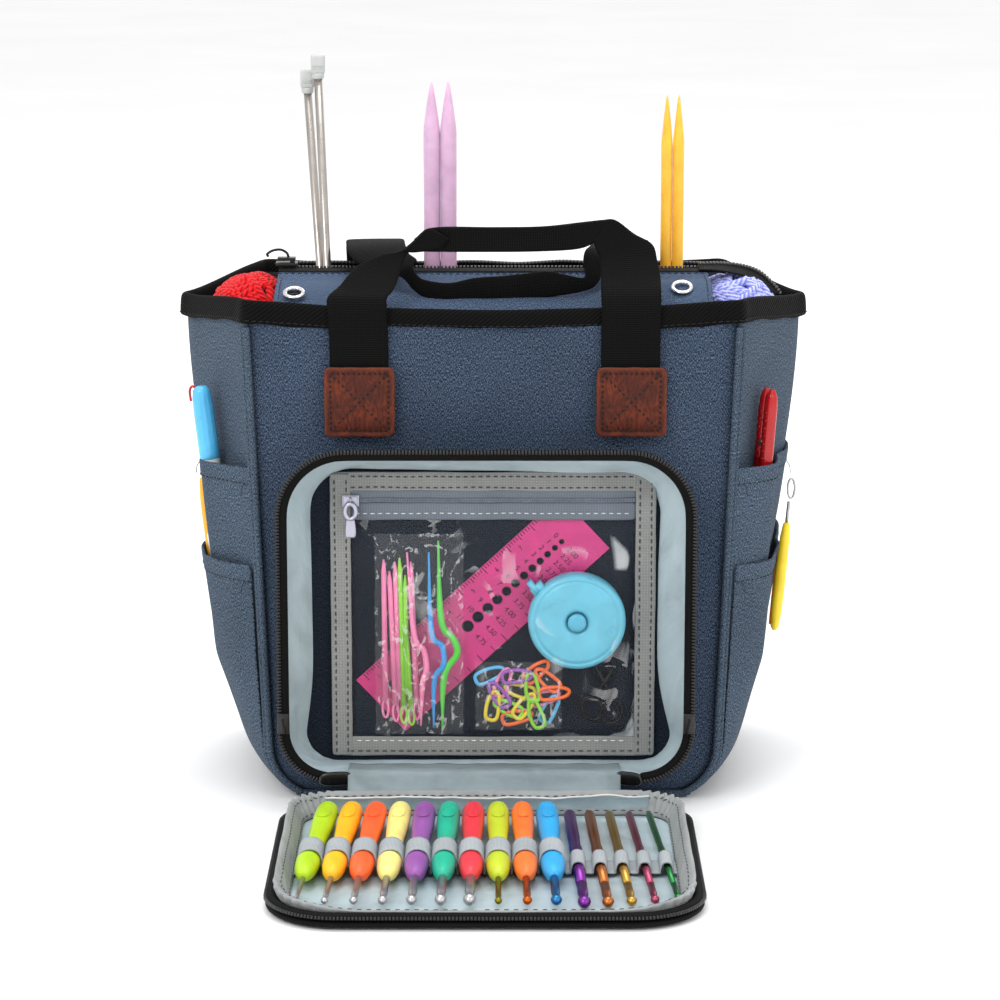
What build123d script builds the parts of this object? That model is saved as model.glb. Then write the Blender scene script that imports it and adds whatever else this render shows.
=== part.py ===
from build123d import *
import os
from math import sqrt

# Knitting tote with an unzipped front pocket, its accessories in place.
# Millimetres, +Z up, +X to the viewer's right of the front, front towards -Y.
# The origin is the centre of the bag's base, on the ground.

# ---- driving dimensions: the bag's body ----
RIM_Z = 260.0             # top of the rim binding
PANEL_TOP_Z = 248.0       # top of the sewn panels, where the binding starts
HALF_DEPTH = 72.0         # front and back panels stand this far from the middle
SHELL = 3.0               # padded fabric wall
SEAM_HALF_LOW = 114.3     # half width at the side seams, above the rounded corners
SEAM_HALF_TOP = 123.7     # half width at the side seams, at the rim
CORNER_RADIUS = 26.0      # rounded bottom corners of the front and back panels
CREASE_HALF_TOP = 161.5   # half width at the gusset's middle fold, at the rim
CREASE_GROWTH = 39.0      # how much wider the fold is at the rim than at the base
LEVELS = (0.0, 6.0, 14.0, 28.0, 70.0, 121.0, 171.0, PANEL_TOP_Z)
UPPER_POCKET_TOP = 171.0
LOWER_POCKET_TOP = 121.0
POCKET_FLOOR = 6.0
POCKET_CLOTH = 1.6

# ---- driving dimensions: top closure ----
FLAP_HALF = 111.0
EYELET_Y, EYELET_LEFT, EYELET_RIGHT = -55.0, -100.5, 95.5
EYELET_BORE, EYELET_FLANGE = 3.2, 5.6
SLIDER_START_X = -107.0

# ---- driving dimensions: webbing handles and patches ----
WEB_WIDTH, WEB_THICK = 30.0, 2.5
STRAP_LEFT, STRAP_RIGHT = -67.0, 69.5
PATCH_SIZE, PATCH_Z = 35.5, 208.0
HANDLE_PIVOT_Y, HANDLE_PIVOT_Z = 76.0, 262.0

# ---- driving dimensions: front pocket, its window and its door ----
POCKET_X = -3.5           # the pocket leans a little to the left
POCKET_WIDTH, POCKET_Z0, POCKET_Z1 = 211.6, 15.0, 188.0
POCKET_TOP_RADIUS, POCKET_LOW_RADIUS = 35.0, 28.0
POCKET_FRONT_Y, POCKET_TAPE = -100.0, 3.8
POCKET_FLARE = 9.0        # the side and top walls lean out by this much from panel to zip
POCKET_LOW_FLARE = 1.5    # and the bottom wall by this much
WINDOW_HALF, WINDOW_Z0, WINDOW_Z1 = 82.5, 22.0, 171.5
CLEAR_HALF, CLEAR_Z0, CLEAR_Z1 = 72.6, 32.6, 150.0
WINDOW_ZIP_Z, WINDOW_SLIDER_X = 157.0, -72.0
DOOR_PIVOT_Y, DOOR_PIVOT_Z = -101.0, 9.0
DOOR_WIDTH, DOOR_LENGTH, DOOR_GAP = 211.0, 172.0, 4.5
DOOR_CLOTH, DOOR_TAPE_TOP, BORDER_TOP = 4.0, 7.6, 17.0
BORDER_INSET, BORDER_FAR_INSET, BORDER_THICK = 7.4, 9.0, 4.1
HOOK_PITCH, HOOK_FIRST_X = 12.75, -86.6
SLIM_PITCH, SLIM_FIRST_X = 10.5, 40.5
BAND_Y, HOOK_Z, SLIM_Z = -206.0, 13.0, 9.4

# ---- driving dimensions: yarn ----
YARN_X, YARN_RADIUS = 124.0, 25.0


# ---- shared geometry ----
def seam_half(z):
    """Half width at the side seams, rounded in at the bottom corners."""
    slope = (SEAM_HALF_TOP - SEAM_HALF_LOW) / (RIM_Z - 30.0)
    straight = SEAM_HALF_LOW + slope * (z - 30.0)
    if z >= CORNER_RADIUS:
        return straight
    drop = CORNER_RADIUS - z
    return straight - CORNER_RADIUS + sqrt(CORNER_RADIUS**2 - drop**2)


def crease_half(z):
    """Half width at the gusset's middle fold, bulging out towards the rim."""
    return CREASE_HALF_TOP - CREASE_GROWTH * max(0.0, 1 - z / 251.0) ** 1.6


def facing_front(y):
    """Plane at depth y, drawn in X and Z, extruding towards the front."""
    return Plane((0, y, 0), x_dir=(1, 0, 0), z_dir=(0, -1, 0))


def slab(sketch, back_y, front_y):
    """A flat piece cut to a sketch in X and Z, between two depths."""
    return extrude(facing_front(back_y) * sketch, back_y - front_y)


def centred_box(x, y, z, width, depth, height):
    return Pos(x, y, z) * Box(width, depth, height)


def between(x0, y0, z0, x1, y1, z1):
    """A block given by its low and high corners."""
    middle = Pos((x0 + x1) / 2, (y0 + y1) / 2, (z0 + z1) / 2)
    return middle * Box(x1 - x0, y1 - y0, z1 - z0)


def rounded_frame(width, height, top_radius, low_radius):
    """A rectangle whose top and bottom corners have their own radii."""
    sketch = Rectangle(width, height)
    sketch = fillet(sketch.vertices().group_by(Axis.Y)[-1], top_radius)
    return fillet(sketch.vertices().group_by(Axis.Y)[0], low_radius)


def hexagon(z, inset):
    """The bag's six-sided outline at a height, with the side folds."""
    s, c, d = seam_half(z) - inset, crease_half(z) - 1.15 * inset, HALF_DEPTH - inset
    corners = [(-s, -d), (s, -d), (c, 0), (s, d), (-s, d), (-c, 0)]
    return Pos(0, 0, z) * Polygon(*corners, align=None)


def side_point(z, t, gap):
    """A point outside the right gusset: t runs from the seam to the fold."""
    s, c = seam_half(z), crease_half(z)
    run = sqrt((c - s) ** 2 + HALF_DEPTH**2)
    out_x, out_y = HALF_DEPTH / run, -(c - s) / run
    if t == 1:
        return c + gap, 0.0
    return s + t * (c - s) + gap * out_x, -HALF_DEPTH * (1 - t) + gap * out_y


def side_path(z, front_bulge, rear_bulge, gap):
    """Points round one gusset, front seam to rear seam, standing off by gap and bulge."""
    fullness = min(1.0, z / 68.0)
    front = [side_point(z, t, bulge * fullness + gap) for t, bulge in front_bulge]
    rear = [side_point(z, t, bulge * fullness + gap) for t, bulge in rear_bulge[:-1]]
    return front + [(x, -y) for x, y in reversed(rear)]


def side_pocket(front_bulge, rear_bulge, top, gap):
    """A pocket sheet that bulges off the gusset and is open at its top."""
    sections = []
    for z in [level for level in LEVELS if POCKET_FLOOR <= level <= top]:
        inner = side_path(z, front_bulge, rear_bulge, gap)
        outer = side_path(z, front_bulge, rear_bulge, gap + POCKET_CLOTH)
        sections.append(Pos(0, 0, z) * Polygon(*inner, *reversed(outer), align=None))
    return loft(sections, ruled=True)


def both_sides(right_front, left_front, rear, top, gap):
    """A pocket on each gusset, shaped round what each side holds."""
    right = side_pocket(right_front, rear, top, gap)
    left = side_pocket(left_front, rear, top, gap)
    return Compound([right, mirror(left, Plane.YZ)])


# ---- the bag's sewn shell ----
def bag_shell():
    outer = loft([hexagon(z, 0) for z in LEVELS], ruled=True)
    core_levels = [SHELL] + [z for z in LEVELS if z > SHELL] + [PANEL_TOP_Z + 4]
    core = loft([hexagon(z, SHELL) for z in core_levels], ruled=True)
    shell = outer - core
    reach, inner = 200.0, HALF_DEPTH - SHELL
    return {
        "base_panel": shell & between(-reach, -reach, -1, reach, reach, SHELL),
        "front_panel": shell & between(-reach, -reach, SHELL, reach, -inner, 300),
        "back_panel": shell & between(-reach, inner, SHELL, reach, reach, 300),
        "left_gusset": shell & between(-reach, -inner, SHELL, 0, inner, 300),
        "right_gusset": shell & between(0, -inner, SHELL, reach, inner, 300),
    }


def rim_binding():
    outer = extrude(hexagon(PANEL_TOP_Z, -1.6), RIM_Z - PANEL_TOP_Z)
    return outer - extrude(hexagon(PANEL_TOP_Z, 4.4), RIM_Z - PANEL_TOP_Z)


def base_board():
    outline = hexagon(SHELL + 0.3, SHELL + 3.0)
    return extrude(outline & Rectangle(190, 200).moved(Location((0, 0, SHELL + 0.3))), 2.5)


def panel_outline(grow):
    """Front panel outline in X and Z, used for the piping cord."""
    right = [(seam_half(2.0) - 2.0, 2.0 - grow)]
    right += [(seam_half(z) + grow, z) for z in LEVELS[1:]]
    left = [(-x, z) for x, z in reversed(right)]
    return Polygon(*right, *left, align=None)


def seam_piping():
    ring = panel_outline(1.4) - panel_outline(-1.6)
    open_top = Pos(0, PANEL_TOP_Z) * Rectangle(244, 8)
    front = slab(ring - open_top, -HALF_DEPTH - 0.1, -HALF_DEPTH - 3.0)
    back = slab(ring - open_top, HALF_DEPTH + 3.0, HALF_DEPTH + 0.1)
    return Compound([front, back])


# ---- top closure ----
def sloped_flap(front_y, front_z, rear_y, rear_z, thick):
    """A fabric strip across the bag, sloping from one depth to another."""
    corners = [(front_y, front_z), (rear_y, rear_z), (rear_y, rear_z - thick), (front_y, front_z - thick)]
    profile = Plane.YZ.offset(-FLAP_HALF) * Polygon(*corners, align=None)
    return extrude(profile, 2 * FLAP_HALF, dir=(1, 0, 0))


FRONT_FLAP = (-67.2, 252.0, -17.2, 265.5)


def flap_height(y):
    y0, z0, y1, z1 = FRONT_FLAP
    return z0 + (y - y0) / (y1 - y0) * (z1 - z0)


def eyelet_place(x):
    """Local frame on the flap, z out of the cloth."""
    y0, z0, y1, z1 = FRONT_FLAP
    return Plane((x, EYELET_Y, flap_height(EYELET_Y)), x_dir=(1, 0, 0), z_dir=(0, z0 - z1, y1 - y0))


def front_zip_flap():
    flap = sloped_flap(*FRONT_FLAP, 2.0)
    for x in (EYELET_LEFT, EYELET_RIGHT):
        flap -= eyelet_place(x) * Cylinder(EYELET_BORE + 1.0, 12)
    return flap


def eyelet(x):
    barrel = Pos(0, 0, -0.9) * Cylinder(EYELET_BORE + 0.8, 3.4)
    flange = Pos(0, 0, 0.5) * Cylinder(EYELET_FLANGE, 0.6)
    bore = Cylinder(EYELET_BORE, 12)
    return eyelet_place(x) * (barrel + flange - bore)


def top_zip_tapes():
    front = between(-FLAP_HALF, -16.9, 264.9, FLAP_HALF, -8, 266.4)
    front += between(-FLAP_HALF, -8, 264.2, FLAP_HALF, -5.6, 267.2)
    rear = between(-FLAP_HALF, 34, 260.8, FLAP_HALF, 41, 262.3)
    rear += between(-FLAP_HALF, 31.6, 260.2, FLAP_HALF, 34, 263.0)
    return Compound([front, rear])


def top_zip_slider():
    body = centred_box(SLIDER_START_X, -8, 269.3, 12, 9, 3.4)
    puller = centred_box(SLIDER_START_X - 6, -8, 271.9, 16, 4, 2.2)
    return body + puller


# ---- webbing handles ----
def strap_ends():
    ends = []
    for x in (STRAP_LEFT, STRAP_RIGHT):
        front = between(x - WEB_WIDTH / 2, -76.2, 192, x + WEB_WIDTH / 2, -73.8, 254)
        ends += [front, mirror(front, Plane.XZ)]
    return Compound(ends)


def leather_patches():
    patches = []
    for x in (STRAP_LEFT, STRAP_RIGHT):
        patch = centred_box(x, -77.7, PATCH_Z, PATCH_SIZE, 2.4, PATCH_SIZE)
        patches += [patch, mirror(patch, Plane.XZ)]
    return Compound(patches)


def level_section(x, y, z, width, thick):
    return Pos(x, y, z) * Rectangle(width, thick)


def grip_section(x, y, z, height, thick):
    return Plane((x, y, z), x_dir=(0, 1, 0), z_dir=(1, 0, 0)) * Rectangle(thick, height)


def front_handle():
    foot_z, grip_y = HANDLE_PIVOT_Z + 1.2, -57.0
    left = loft([
        level_section(STRAP_LEFT, -HANDLE_PIVOT_Y, foot_z, WEB_WIDTH, WEB_THICK),
        level_section(-48, grip_y, 287, 22, 5),
    ], ruled=True)
    right = loft([
        level_section(STRAP_RIGHT, -HANDLE_PIVOT_Y, foot_z, WEB_WIDTH, WEB_THICK),
        level_section(67, grip_y, 294, 27, 5),
    ], ruled=True)
    grip = loft([
        grip_section(-56, grip_y, 286, 8, 5.4),
        grip_section(-30, grip_y, 289, 13, 6),
        grip_section(20, grip_y, 288, 13, 6),
        grip_section(58, grip_y, 289, 13, 6),
    ], ruled=True)
    return left + right + grip


def rear_leg(x):
    route = [(74.6, 262.0), (36, 272), (-10, 279.5), (-34, 277.5), (-47.6, 270)]
    sections = [
        Plane((x, y, z), x_dir=(1, 0, 0), z_dir=(0, -1, 0)) * Rectangle(WEB_WIDTH - 1, WEB_THICK)
        for y, z in route
    ]
    return loft(sections, ruled=True)


def rear_handle():
    grip = loft([
        grip_section(-78, -50, 270, 6, 5.6),
        grip_section(-40, -50, 268.5, 11, 5.6),
        grip_section(16, -50, 264, 11, 5.6),
        grip_section(44, -50, 267.5, 11, 5.6),
        grip_section(80, -50, 270, 6, 5.6),
    ], ruled=True)
    return rear_leg(STRAP_LEFT + 2) + rear_leg(STRAP_RIGHT - 3) + grip


# ---- front pocket ----
def pocket_face(y, inset):
    """Pocket outline at a depth; the side and top walls lean out towards the zip."""
    depth_share = (y - POCKET_FRONT_Y) / (-HALF_DEPTH - POCKET_FRONT_Y)
    lean, low_lean = depth_share * POCKET_FLARE, depth_share * POCKET_LOW_FLARE
    z0, z1 = POCKET_Z0 + low_lean + inset, POCKET_Z1 - lean - inset
    sketch = rounded_frame(
        POCKET_WIDTH - 2 * (lean + inset), z1 - z0,
        POCKET_TOP_RADIUS - lean - inset, POCKET_LOW_RADIUS - lean - inset,
    )
    return facing_front(y) * (Pos(POCKET_X * (1 - depth_share / 3), (z0 + z1) / 2) * sketch)


def pocket_wall():
    rear, front = -HALF_DEPTH - 0.2, POCKET_FRONT_Y + POCKET_TAPE
    outer = loft([pocket_face(rear, 0), pocket_face(front, 0)], ruled=True)
    inner = loft([pocket_face(rear, SHELL), pocket_face(front, SHELL)], ruled=True)
    return outer - inner


def pocket_zip_tape():
    rear = POCKET_FRONT_Y + POCKET_TAPE - 0.1
    outer = loft([pocket_face(rear, 0), pocket_face(POCKET_FRONT_Y, 0)], ruled=True)
    inner = loft([pocket_face(rear, 5.5), pocket_face(POCKET_FRONT_Y, 5.5)], ruled=True)
    return outer - inner


def window_sheet(half, z0, z1, radius):
    sheet = RectangleRounded(2 * half, z1 - z0, radius)
    return Pos(0, (z0 + z1) / 2) * sheet


def window_binding():
    outer = window_sheet(WINDOW_HALF, WINDOW_Z0, WINDOW_Z1, 5)
    hole = window_sheet(CLEAR_HALF, CLEAR_Z0, WINDOW_ZIP_Z + 5, 0.2)
    return slab(outer - hole, -HALF_DEPTH - 0.3, -HALF_DEPTH - 2.6)


def window_zip_tape():
    tape = between(-CLEAR_HALF + 0.2, -74.4, CLEAR_Z1 + 0.3, CLEAR_HALF - 0.2, -73, WINDOW_ZIP_Z + 4.8)
    coil = between(-CLEAR_HALF + 0.2, -75.6, WINDOW_ZIP_Z - 1, CLEAR_HALF - 0.2, -74.4, WINDOW_ZIP_Z + 1)
    return tape + coil


def window_vinyl():
    """Clear sheet that bulges over the notions behind it."""
    def bulge(shrink, front_y):
        back = Pos(0, (CLEAR_Z0 + CLEAR_Z1) / 2)
        back *= Rectangle(2 * (CLEAR_HALF - 0.3 - shrink), CLEAR_Z1 - CLEAR_Z0 - 0.6 - 2 * shrink)
        front = Pos(7.5, 80.5) * Rectangle(125 - 2 * shrink, 89 - 2 * shrink)
        return loft([facing_front(-74.0) * back, facing_front(front_y) * front], ruled=True)
    return bulge(0, -89.0) - bulge(0.7, -88.3)


def window_slider():
    return centred_box(WINDOW_SLIDER_X, -77.0, WINDOW_ZIP_Z, 9, 2.4, 6)


def window_pull():
    low, high = WINDOW_SLIDER_X - 2.1, WINDOW_SLIDER_X + 2.1
    return between(low, -81.4, 141.6, high, -79.5, 156.5)


def door_slider(side):
    x = POCKET_X + side * (POCKET_WIDTH / 2 - 3.2)
    return centred_box(x, POCKET_FRONT_Y - 1.1, 47, 6, 1.6, 11)


# ---- notions behind the window ----
def gauge_ruler():
    plate = Rectangle(142, 37) - Pos(-58, 3) * Circle(3.5)
    plate -= Pos(62, 18.5) * Rot(0, 0, 45) * Rectangle(6, 6)
    for i in range(12):
        plate -= Pos(55.5 - 4.6 * i - 0.12 * i * i, 0.6) * Circle(1.0 + 0.15 * i)
    return slab(Pos(-5.5, 96.9) * Rot(0, 0, 42.8) * plate, -72.3, -72.9)


TAPE_X, TAPE_Z = 42.5, 95.8


def tape_case():
    turned = facing_front(-75.2) * Pos(TAPE_X, TAPE_Z)
    case = extrude(turned * Circle(24.8), 11.2)
    case = fillet(case.edges().filter_by(GeomType.CIRCLE), 3)
    return case - extrude(facing_front(-82.4) * Pos(TAPE_X, TAPE_Z) * Circle(4.9), 8)


def tape_button():
    return extrude(facing_front(-84.2) * Pos(TAPE_X, TAPE_Z) * Circle(4.5), 3.4)


def rod(start, end, radius):
    """A straight round rod between two points."""
    start, end = Vector(*start), Vector(*end)
    along = end - start
    return extrude(Plane(origin=start, z_dir=along) * Circle(radius), along.length)


def plastic_needles():
    """Five yarn needles with eyes and three cable needles."""
    rods = []
    for i in range(5):
        x = -54.0 + i * 4.6
        rods.append(rod((x, -78.5, 128 - 3 * (i % 2)), (x + 4, -78.5, 42 + 4 * (i % 3)), 1.5))
    for i in range(3):
        x = -27.0 + i * 4.4
        rods.append(rod((x, -78.5, 132 - 5 * i), (x - 1, -78.5, 38 + 3 * i), 1.6))
    return Compound(rods)


def stitch_markers():
    rings = []
    for i in range(8):
        x, z = -8.0 + (i % 4) * 10.5, 47.0 + (i // 4) * 13.0
        rings.append(facing_front(-78.5) * Pos(x, z) * Torus(4.2, 1.1))
    return Compound(rings)


# ---- the pocket's door, lying open on the ground ----
def door_outline(inset, far_inset):
    """Door outline seen from above, drawn about the door's own middle."""
    length = DOOR_LENGTH - inset - far_inset
    sketch = Rectangle(DOOR_WIDTH - 2 * inset, length)
    near = sketch.vertices().group_by(Axis.Y)[0]
    sketch = fillet(near, POCKET_TOP_RADIUS - inset)
    far = sketch.vertices().group_by(Axis.Y)[-1]
    sketch = fillet(far, POCKET_LOW_RADIUS - inset)
    far_y = DOOR_PIVOT_Y - DOOR_GAP - far_inset
    return Pos(POCKET_X, far_y - length / 2) * sketch


def door_layer(inset, far_inset, z0, z1):
    return extrude(Pos(0, 0, z0) * door_outline(inset, far_inset), z1 - z0)


def door_panel():
    return door_layer(0, 0, 0, DOOR_CLOTH)


def door_zip_tape():
    low, high = DOOR_CLOTH + 0.1, DOOR_TAPE_TOP
    return door_layer(0, 0, low, high) - door_layer(4.5, 5.5, low - 0.1, high + 0.1)


def door_border():
    low, inner, far_inner = DOOR_CLOTH + 0.1, BORDER_INSET + BORDER_THICK, BORDER_FAR_INSET + BORDER_THICK
    outer = door_layer(BORDER_INSET, BORDER_FAR_INSET, low, BORDER_TOP)
    return outer - door_layer(inner, far_inner, low - 0.1, BORDER_TOP + 0.1)


def door_lining():
    """The lining sheet and the loose flap that keeps the grips in."""
    inset, far_inset = BORDER_INSET + BORDER_THICK + 0.4, BORDER_FAR_INSET + BORDER_THICK + 0.4
    flap = between(-82, -121.2, 5.4, 76, -120.2, 15.5)
    return Compound([door_layer(inset, far_inset, DOOR_CLOTH + 0.1, 5.2), flap])


def hinge_strip():
    far = DOOR_PIVOT_Y - DOOR_GAP - 8
    return between(POCKET_X - 72, far + 0.2, 8.4, POCKET_X + 72, DOOR_PIVOT_Y - 0.6, 9.2)


def hook_x(i):
    return HOOK_FIRST_X + i * HOOK_PITCH


def slim_x(i):
    return SLIM_FIRST_X + i * SLIM_PITCH


def hook_band():
    band = between(-95.5, BAND_Y - 6, 5.3, 88.5, BAND_Y + 6, 6.0)
    loops = [(hook_x(i), HOOK_Z - 0.4, 6.9, 6.2) for i in range(10)]
    loops += [(slim_x(i), SLIM_Z, 3.6, 3.0) for i in range(5)]
    for x, z, outer, inner in loops:
        tube = Rot(90, 0, 0) * (Cylinder(outer, 12) - Cylinder(inner, 14))
        loop = Pos(x, BAND_Y, z) * tube
        band += loop & between(x - 8, BAND_Y - 6, 5.3, x + 8, BAND_Y + 6, 25)
    return band


def ergonomic_hook(i):
    """A crochet hook with a thick soft grip and a slim metal shaft."""
    x, z, grip_end, grip_front, tip = hook_x(i), HOOK_Z, -131.0, -233.0, -260.0
    shaft_radius = 1.2 + 0.2 * i if i < 7 else 1.4 + 0.35 * (i - 7)
    grip = rod((x, grip_end, z), (x, grip_front, z), 5.6)
    grip = fillet(grip.edges().filter_by(GeomType.CIRCLE), 4)
    shaft = rod((x, grip_front - 0.05, z - 1.5), (x, tip, z - 2.5), shaft_radius)
    return Compound([grip, shaft])


def slim_hooks():
    hooks = []
    for i in range(5):
        x, tip = slim_x(i), -262 + 0.5 * i**2
        hooks.append(rod((x, -136, SLIM_Z), (x, tip, SLIM_Z), 2.6 - 0.3 * i))
    return Compound(hooks)


# ---- what stands in the bag ----
def steel_needles():
    pieces = []
    for foot_x, top_x, y, top in ((-78.0, -90.8, 12.5, 364), (-76.0, -96.6, 18.0, 356)):
        shaft = rod((foot_x, y, 8), (top_x, y, top), 2.2)
        cap = centred_box(top_x, y, top + 5.2, 7.4, 5, 10)
        pieces += [shaft, cap]
    return Compound(pieces)


def thick_needles(x0, pitch, radius, top):
    pieces = []
    for i in range(2):
        x = x0 + i * pitch
        shaft = rod((x, 15, 8), (x, 15, top - 26), radius)
        point = Plane((x, 15, top - 26)) * Circle(radius)
        tip = Plane((x, 15, top)) * Circle(0.7)
        pieces.append(shaft + loft([point, tip], ruled=True))
    return Compound(pieces)


def yarn_ball(x):
    return Pos(x, -6, 236) * Sphere(YARN_RADIUS)


# ---- what stands in the side pockets ----
def slot_rod(side, t, gap, z0, z1, radius):
    """A rod that follows the slope of one gusset."""
    low, high = side_point(100.0, t, gap), side_point(220.0, t, gap)
    points = []
    for z in (z0, z1):
        share = (z - 100.0) / 120.0
        x = low[0] + share * (high[0] - low[0])
        y = low[1] + share * (high[1] - low[1])
        points.append((side * x, y, z))
    return rod(*points, radius)


def thread_snips():
    handle = slot_rod(side=1, t=0.64, gap=15.6, z0=78, z1=136, radius=3.0)
    loop = slot_rod(side=1, t=0.64, gap=15.6, z0=135.9, z1=158, radius=1.2)
    return handle + loop


# Bulges of the pocket sheets off the gusset, as (share of the way to the fold, bulge).
UPPER_RIGHT = [(0.03, 0), (0.18, 8.7), (0.36, 12.3), (0.54, 7.0), (0.66, 2.1), (1, 0)]
UPPER_LEFT = [(0.03, 0), (0.32, 8.7), (0.5, 13.1), (0.62, 8.9), (0.72, 2.1), (1, 0)]
UPPER_REAR = [(0.03, 0), (0.5, 13.2), (1, 0)]
UPPER_GAP = 0.5
LOWER_RIGHT = [(0.05, 1.2), (0.18, 8.9), (0.36, 12.5), (0.54, 9.0), (0.68, 6.5), (0.8, 4.5), (0.92, 1.5), (1, 0)]
LOWER_LEFT = [(0.05, 1.2), (0.2, 8.9), (0.34, 12.0), (0.5, 14.0), (0.64, 11.0), (0.76, 9.3), (0.9, 4.0), (1, 0)]
LOWER_REAR = [(0.05, 1.2), (0.2, 12.0), (0.4, 19.0), (0.6, 15.0), (1, 0)]
LOWER_GAP = 2.7


def build():
    nodes = dict(bag_shell())
    nodes["base_board"] = base_board()
    nodes["rim_binding"] = rim_binding()
    nodes["seam_piping"] = seam_piping()
    nodes["front_zip_flap"] = front_zip_flap()
    nodes["rear_zip_flap"] = sloped_flap(41.3, 262.0, 67.2, 252.0, 2.0)
    nodes["eyelets"] = Compound([eyelet(EYELET_LEFT), eyelet(EYELET_RIGHT)])
    nodes["top_zip_tapes"] = top_zip_tapes()
    nodes["top_zip_slider"] = top_zip_slider()
    nodes["strap_ends"] = strap_ends()
    nodes["leather_patches"] = leather_patches()
    nodes["front_handle"] = front_handle()
    nodes["rear_handle"] = rear_handle()
    nodes["upper_side_pockets"] = both_sides(UPPER_RIGHT, UPPER_LEFT, UPPER_REAR, UPPER_POCKET_TOP, UPPER_GAP)
    nodes["lower_side_pockets"] = both_sides(LOWER_RIGHT, LOWER_LEFT, LOWER_REAR, LOWER_POCKET_TOP, LOWER_GAP)
    nodes["pocket_wall"] = pocket_wall()
    nodes["pocket_zip_tape"] = pocket_zip_tape()
    nodes["window_binding"] = window_binding()
    nodes["window_zip_tape"] = window_zip_tape()
    nodes["window_vinyl"] = window_vinyl()
    nodes["window_slider"] = window_slider()
    nodes["window_pull"] = window_pull()
    nodes["left_door_slider"] = door_slider(-1)
    nodes["right_door_slider"] = door_slider(1)
    nodes["gauge_ruler"] = gauge_ruler()
    nodes["tape_case"] = tape_case()
    nodes["tape_button"] = tape_button()
    nodes["plastic_needles"] = plastic_needles()
    nodes["stitch_markers"] = stitch_markers()
    nodes["door_panel"] = door_panel()
    nodes["door_zip_tape"] = door_zip_tape()
    nodes["door_border"] = door_border()
    nodes["door_lining"] = door_lining()
    nodes["hinge_strip"] = hinge_strip()
    nodes["hook_band"] = hook_band()
    for i in range(10):
        nodes[f"crochet_hook_{i + 1:02d}"] = ergonomic_hook(i)
    nodes["slim_hooks"] = slim_hooks()
    nodes["steel_needles"] = steel_needles()
    nodes["purple_needles"] = thick_needles(x0=-32.2, pitch=8.6, radius=4.1, top=360)
    nodes["yellow_needles"] = thick_needles(x0=90.4, pitch=6.2, radius=2.9, top=353)
    nodes["red_yarn"] = yarn_ball(-YARN_X)
    nodes["lavender_yarn"] = yarn_ball(YARN_X)
    nodes["marker_pen"] = slot_rod(side=-1, t=0.5, gap=7.6, z0=96, z1=209, radius=5.2)
    nodes["pencil"] = slot_rod(side=-1, t=0.76, gap=7.9, z0=80, z1=158, radius=2.6)
    nodes["red_scissors"] = slot_rod(side=1, t=0.36, gap=6.8, z0=104, z1=208, radius=5.2)
    nodes["thread_snips"] = thread_snips()
    return nodes


def main():
    os.makedirs("parts", exist_ok=True)
    for name, shape in build().items():
        shape.label = name
        export_step(shape, f"parts/{name}.step")
        print(f"{name:22s} solids {len(shape.solids()):3d}  volume {shape.volume:12.1f}")


main()
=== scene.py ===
import math
import random

import bmesh
import bpy
import numpy as np
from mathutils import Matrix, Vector, noise


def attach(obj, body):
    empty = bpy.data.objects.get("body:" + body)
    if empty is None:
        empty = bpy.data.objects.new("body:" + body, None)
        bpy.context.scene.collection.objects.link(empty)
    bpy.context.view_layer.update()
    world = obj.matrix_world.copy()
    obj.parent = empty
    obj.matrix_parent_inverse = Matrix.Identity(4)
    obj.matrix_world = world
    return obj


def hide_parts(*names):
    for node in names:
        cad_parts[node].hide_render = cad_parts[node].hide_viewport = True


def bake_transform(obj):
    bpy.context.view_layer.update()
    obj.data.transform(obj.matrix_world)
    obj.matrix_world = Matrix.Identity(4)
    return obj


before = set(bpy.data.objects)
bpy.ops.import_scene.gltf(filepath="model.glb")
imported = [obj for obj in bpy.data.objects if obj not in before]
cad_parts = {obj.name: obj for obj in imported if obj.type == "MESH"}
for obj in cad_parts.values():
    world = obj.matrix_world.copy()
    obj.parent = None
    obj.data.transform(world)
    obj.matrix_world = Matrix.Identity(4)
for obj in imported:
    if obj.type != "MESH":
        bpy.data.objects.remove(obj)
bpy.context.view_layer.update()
MM = 0.001


# ---------------------------------------------------------------- mesh tools
# All coordinates below are millimetres in the CAD frame; build() turns them into metres.
def smooth(t):
    """Eases from 0 to 1 as t does."""
    t = min(max(t, 0.0), 1.0)
    return t * t * (3 - 2 * t)


def ripple(x, y, z=0.0):
    """Smooth noise, about -0.5 to 0.5."""
    return noise.noise(Vector((x, y, z)))


def angles(count):
    """Evenly spaced angles round a full circle."""
    return [2 * math.pi * k / count for k in range(count)]


def squircle(a, power):
    """Reach at angle a of a square with rounded corners; a higher power is squarer."""
    return (abs(math.cos(a)) ** power + abs(math.sin(a)) ** power) ** (-1 / power)


def spline(points, per=6, loop=False):
    """Catmull-Rom through points of any dimension."""
    pts = [np.array(p, float) for p in points]
    n = len(pts)
    out = []
    for i in range(n if loop else n - 1):
        if loop:
            a, b, c, d = (pts[(i + k) % n] for k in (-1, 0, 1, 2))
        else:
            b, c = pts[i], pts[i + 1]
            a = pts[i - 1] if i else 2 * b - c
            d = pts[i + 2] if i + 2 < n else 2 * c - b
        for k in range(per):
            t = k / per
            out.append(0.5 * (2 * b + (c - a) * t + (2 * a - 5 * b + 4 * c - d) * t**2
                              + (3 * b - a - 3 * c + d) * t**3))
    if not loop:
        out.append(pts[-1])
    return out


def along(path):
    """The point at any distance along a polyline, and the polyline's length."""
    pts = [np.array(p, float) for p in path]
    reach = np.concatenate([[0], np.cumsum([np.linalg.norm(b - a) for a, b in zip(pts, pts[1:])])])
    table = np.array(pts)
    return lambda s: Vector([np.interp(s, reach, table[:, k]) for k in range(3)]), reach[-1]


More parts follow.
